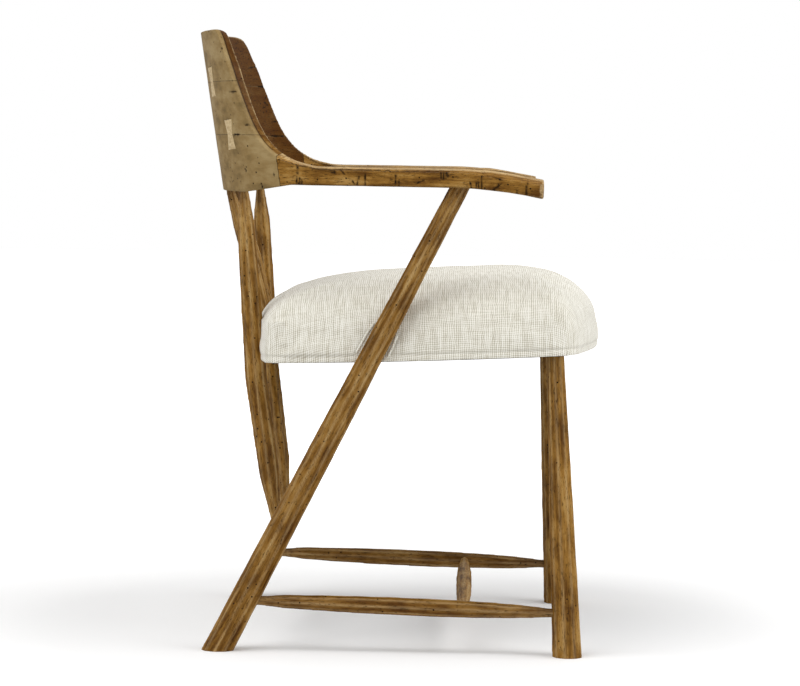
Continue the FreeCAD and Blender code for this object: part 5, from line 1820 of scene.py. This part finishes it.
    def cover_frame(self, rows: np.ndarray) -> np.ndarray:
        """Draws points of the cushion's sides out again where the wooden frame would show.

        Args:
            rows: Points in metres.

        Returns:
            The moved points.
        """
        height = self.height(rows)
        low = np.nonzero((height > self.cover_low) & (height < self.frame_top + self.frame_fade))[0]
        line = self.level(self.cover_level, 0.0, self.fine)[:, :2]
        out = self.outward(line)
        spots = rows[low, :2]
        nearest = np.empty(len(low), dtype=int)
        for start in range(0, len(low), self.batch):
            chunk = spots[start:start + self.batch]
            gaps = np.linalg.norm(chunk[:, None, :] - line[None, :, :], axis=2)
            nearest[start:start + self.batch] = gaps.argmin(axis=1)
        inset = -np.sum((spots - line[nearest]) * out[nearest], axis=1)
        rear = spots[:, 1] > self.rear_corner - self.rear_radius
        most = np.where(rear, self.rear_cover, self.frame_cover)
        most = most + self.cover_slope * np.clip(height[low] - self.frame_top + self.cover_ease, 0, None)
        shift = np.where(inset < self.cover_deep, np.clip(inset - most, 0, None), 0)
        rows = rows.copy()
        rows[low, :2] += out[nearest] * shift[:, None]
        return rows

    def weave(self, piece: bpy.types.Object) -> None:
        """Marks the place on the flat cloth, once draped over the sides, once over front and rear.

        Args:
            piece: A linen piece.
        """
        rows = places(piece)
        normals = np.abs(places(piece, "normal"))
        drop = self.crown_height - self.height(rows)
        x, y = rows[:, 0], rows[:, 1]
        nothing = np.zeros(len(rows))
        mark(piece, "weave_side", np.stack([y, x + np.sign(x) * drop, nothing], axis=1))
        mark(piece, "weave_end", np.stack([x, y + np.sign(y) * drop, nothing], axis=1))
        turned = np.clip((normals[:, 1] - normals[:, 0]) / self.turned_run + 0.5, 0, 1)
        most, run = self.top_facing
        mark(piece, "turned", turned * np.clip((most - normals[:, 2]) / run, 0, 1))

    def crease(self, rows: np.ndarray) -> np.ndarray:
        """Works out the painted shade in the folds beside the raking legs and the painted shadow over the hem
        band.

        Args:
            rows: Points in metres.

        Returns:
            One number per point, from 0 to 1.
        """
        height = self.height(rows)
        fold_shade = np.zeros(len(rows))
        for side in Side:
            _, wide, radius = self.beside_leg(rows, side)
            # Painted shade in the folds beside each leg.
            line = bell(np.abs(wide) - radius - self.fold_reach, self.fold_width)
            fold_shade = np.maximum(fold_shade, line * (rows[:, 0] * side.value > self.fold_side))
        fold_shade *= self.fold_shade_depth * np.clip((self.fold_height - height) / self.fold_fade, 0, 1)
        # Painted shadow over the hem band.
        return np.maximum(fold_shade, self.hem_shadow * bell(height - self.hem_height, self.hem_width))

    def cushion(self, linen: bpy.types.Material) -> bpy.types.Object:
        """Makes the stuffed cushion.

        Args:
            linen: The cloth finish.

        Returns:
            The cushion.
        """
        piece = self.stuffed()
        self.blow_up(piece)
        modify(piece, "DISPLACE", texture=cloud("stuffing", self.lump_grain_mm), texture_coords="LOCAL",
               strength=self.lump, mid_level=0.5)
        modify(piece, "SUBSURF", levels=1, render_levels=1)
        rows = self.cover_frame(self.make_way(places(piece), self.leg_room, self.shoulder))
        put(piece, self.make_way(rows, self.leg_room))
        self.weave(piece)
        mark(piece, "crease", self.crease(places(piece)))
        dress(piece, linen, "linen", "seat_cover", "seat_foam")
        return piece

    def band(self, linen: bpy.types.Material) -> None:
        """Makes the hem band round the foot of the cushion.

        Args:
            linen: The cloth finish.
        """
        base = self.level(self.hem_level, self.hem_inset, self.fine)
        count, sides = len(base), len(self.hem_section)
        foot = self.height(base)[:, None]
        out = np.column_stack([self.outward(base[:, :2]), np.zeros(count)])
        up = np.array([0, 0, 1.0])
        rings = [base + out * reach * MM + up * (high * MM - foot) for reach, high in self.hem_section]
        faces = self.wall(count, sides) + ring_faces(count, (sides - 1) * count, 0)
        piece = mesh_of("seat_hem_band", self.make_way(np.concatenate(rings), self.leg_room), faces)
        face_out(piece)
        self.weave(piece)
        dress(piece, linen, "linen")

    def slit_edge(self, cushion: bpy.types.Object, side: Side, hand: int) -> list[np.ndarray]:
        """Lays the rings of one rolled edge on the cushion beside a raking leg.

        Args:
            cushion: The finished cushion.
            side: Which leg.
            hand: Which edge of its slit, as a sign.

        Returns:
            Points in metres, ring after ring.
        """
        inward = self.inward(side)
        foot, run = self.leg_axis(side)
        across = np.cross(run, inward)
        turns = [math.tau * i / self.piping_sides for i in range(self.piping_sides)]
        section = [(across * math.cos(t) - inward * math.sin(t)) * self.piping_radius for t in turns]
        rows = []
        for high in np.linspace(self.piping_low, self.piping_high, self.piping_rings):
            spot = foot + run * (self.plane + high - foot[2]) / run[2]
            _, _, radius = self.beside_leg(spot[None], side)
            gap = self.piping_gap * np.clip((self.piping_high - high) / self.piping_ease, 0, 1)
            spot = spot + across * hand * (radius[0] + self.piping_radius + gap)
            met, hit, _, _ = cushion.ray_cast(Vector(spot - inward * self.piping_probe), Vector(inward))
            if met:
                rows += [np.array(hit) + reach for reach in section]
        return rows

    def slit_piping(self, cushion: bpy.types.Object, linen: bpy.types.Material) -> None:
        """Makes the rolled edges of the slits that the raking legs pass through, as one piece.

        Args:
            cushion: The finished cushion, on which the edges lie.
            linen: The cloth finish.
        """
        sides = self.piping_sides
        rows, faces = [], []
        for side in Side:
            for hand in (-1, 1):
                first = len(rows)
                rows += self.slit_edge(cushion, side, hand)
                last = len(rows) - sides
                faces += [tuple(range(first, first + sides)), tuple(range(last, last + sides))]
                faces += self.wall(sides, (len(rows) - first) // sides, first)
        piece = mesh_of("seat_slit_piping", np.array(rows), faces)
        face_out(piece)
        self.weave(piece)
        dress(piece, linen, "linen")

    def dust_cloth(self, cambric: bpy.types.Material) -> None:
        """Makes the stretched dust cloth under the seat.

        Args:
            cambric: The cloth finish.
        """
        edge = self.outline(self.cloth_setback, self.fine)
        count = len(edge)
        flat = np.concatenate([edge * share for share in self.cloth_rings])
        spread = np.repeat(self.cloth_rings, count)
        rows = np.column_stack([flat, -self.cloth_below - self.cloth_sag * (1 - spread ** 2)])
        faces = self.wall(count, len(self.cloth_rings)) + [tuple(range(len(rows) - count, len(rows)))]
        piece = mesh_of("dust_cloth", self.make_way(self.tilted(rows), self.leg_room), faces)
        dress(piece, cambric, "cambric", "dust_cover")

    def build(self, linen: bpy.types.Material, cambric: bpy.types.Material) -> None:
        """Makes all the soft pieces of the seat.

        Args:
            linen: Finish of the seat's cover.
            cambric: Finish of the dust cloth.
        """
        cushion = self.cushion(linen)
        self.band(linen)
        self.slit_piping(cushion, linen)
        self.dust_cloth(cambric)


# Studio.
@dataclass
class Studio:
    """Pale floor, soft light and a camera at the photograph's viewing angle.

    A lamp is its name, place and size in metres, and power in watts.
    """

    camera_at: Vector = field(default_factory=lambda: Vector((-4371.0, -99.2, 668.3)) * MM)
    yaw: float = math.radians(1.291)
    pitch: float = math.radians(3.563)
    roll: float = math.radians(-0.902)
    lens_mm: float = 141.3
    sensor_mm: float = 36.0
    sky_lights: float = 0.60
    sky_seen: float = 1.0
    lamps: tuple = (
        ("key_lamp", (-1.4, 1.3, 3.3), 2.4, 58.0), ("fill_lamp", (-0.6, -2.6, 2.6), 2.6, 52.0))
    lamp_aim: tuple[float, float, float] = (0, 0, 0.4)
    floor_size: float = 30.0
    floor_tone: str = "#F2F2F2"
    glow_reach: tuple[float, float] = (0.5, 2.2)
    glow: tuple[float, float] = (0.08, 0.75)

    def camera(self) -> None:
        """Sets the camera."""
        data = bpy.data.cameras.new("photo_camera")
        data.sensor_width = self.sensor_mm
        data.lens = self.lens_mm
        ahead = Vector((
            math.cos(self.yaw) * math.cos(self.pitch), math.sin(self.yaw) * math.cos(self.pitch),
            -math.sin(self.pitch)))
        right = ahead.cross(Vector((0, 0, 1))).normalized()
        down = ahead.cross(right)
        c, s = math.cos(self.roll), math.sin(self.roll)
        across = right * c + down * s
        up = right * s - down * c
        turn = Matrix((across, up, -ahead)).transposed().to_4x4()
        camera = bpy.data.objects.new("photo_camera", data)
        camera.matrix_world = Matrix.Translation(self.camera_at) @ turn
        bpy.context.collection.objects.link(camera)
        bpy.context.scene.camera = camera

    def light(self) -> None:
        """Sets the world, which looks brighter than it lights, and two soft lamps."""
        world = bpy.data.worlds.new("studio")
        bpy.context.scene.world = world
        world.use_nodes = True
        tree = world.node_tree
        back = tree.nodes["Background"]
        back.inputs["Color"].default_value = (1, 1, 1, 1)
        rays = add(tree, "ShaderNodeLightPath").outputs
        seen = rays["Is Camera Ray"]
        for ray in ("Is Transmission Ray", "Is Glossy Ray"):
            seen = add(tree, "ShaderNodeMath", {0: seen, 1: rays[ray]}, operation="MAXIMUM").outputs[0]
        strength = add(tree, "ShaderNodeMapRange", {0: seen, 3: self.sky_lights, 4: self.sky_seen})
        tree.links.new(strength.outputs[0], back.inputs["Strength"])
        for name, place, size, power in self.lamps:
            data = bpy.data.lights.new(name, "AREA")
            data.size = size
            data.energy = power
            lamp = bpy.data.objects.new(name, data)
            lamp.location = place
            aim = Vector(self.lamp_aim) - Vector(place)
            lamp.rotation_euler = aim.to_track_quat("-Z", "Y").to_euler()
            bpy.context.collection.objects.link(lamp)

    def floor(self) -> None:
        """Lays the pale floor, which keeps the chair's shadow and is near white to the camera."""
        bpy.ops.object.select_all(action="DESELECT")
        bpy.ops.mesh.primitive_plane_add(size=self.floor_size)
        plane = active_named("floor")
        material, tree, shader = fresh("pale_floor", Roughness=0.9, Specular_IOR_Level=0.1)
        shader.inputs["Base Color"].default_value = linear(self.floor_tone)
        rays = add(tree, "ShaderNodeLightPath")
        place = add(tree, "ShaderNodeTexCoord").outputs["Object"]
        away = add(tree, "ShaderNodeVectorMath", {0: place}, operation="LENGTH").outputs["Value"]
        near, far = self.glow_reach
        least, most = self.glow
        glow = add(tree, "ShaderNodeMapRange", {0: away, 1: near, 2: far, 3: least, 4: most})
        glow = add(tree, "ShaderNodeMath", {
            0: rays.outputs["Is Camera Ray"], 1: glow.outputs[0]}, operation="MULTIPLY")
        shader.inputs["Emission Color"].default_value = (1, 1, 1, 1)
        tree.links.new(glow.outputs[0], shader.inputs["Emission Strength"])
        plane.data.materials.append(material)

    def build(self) -> None:
        """Makes the whole studio."""
        self.camera()
        self.light()
        self.floor()
        bpy.context.scene.view_settings.view_transform = "Standard"


def hidden_woodwork(nodes: dict, key_wood: bpy.types.Material) -> None:
    """Gives the frame inside the seat, the dowels and the steel their finishes.

    Args:
        nodes: CAD node objects by name.
        key_wood: Finish of keys and dowels.
    """
    rail = PlainWoodFinish("planed_birch", "#A9814F", "#C9A472").make()
    ply = PlainWoodFinish("birch_plywood", "#B8925F", "#D6B585", wide_mm=4.0).make()
    steel = SteelFinish().make()
    finishes = {
        "seat_rail_front": rail, "seat_rail_rear": rail, "seat_rail_left": rail, "seat_rail_right": rail,
        "corner_blocks": rail, "seat_deck": ply, "board_dowels": key_wood, "arm_dowels": key_wood,
        "leg_bolts": steel, "post_screws": steel, "corner_block_screws": steel,
    }
    for name, finish in finishes.items():
        nodes[name].data.materials.clear()
        nodes[name].data.materials.append(finish)
        log.info("%s: finished", name)


def main() -> None:
    """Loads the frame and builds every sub-assembly."""
    logging.basicConfig(level=logging.INFO, format="%(name)s: %(message)s")
    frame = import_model()
    wood = DriftwoodFinish().make()
    key_wood = PlainWoodFinish("butterfly_key_maple", "#A78D5F", "#CBB384", wide_mm=3.0).make()
    Underframe().build(wood)
    BackAndArms(frame["nodes"]).build(wood, key_wood)
    Seat().build(LinenFinish().make(), CambricFinish().make())
    hidden_woodwork(frame["nodes"], key_wood)
    Studio().build()
    bpy.context.view_layer.update()


if __name__ == "__main__":
    main()
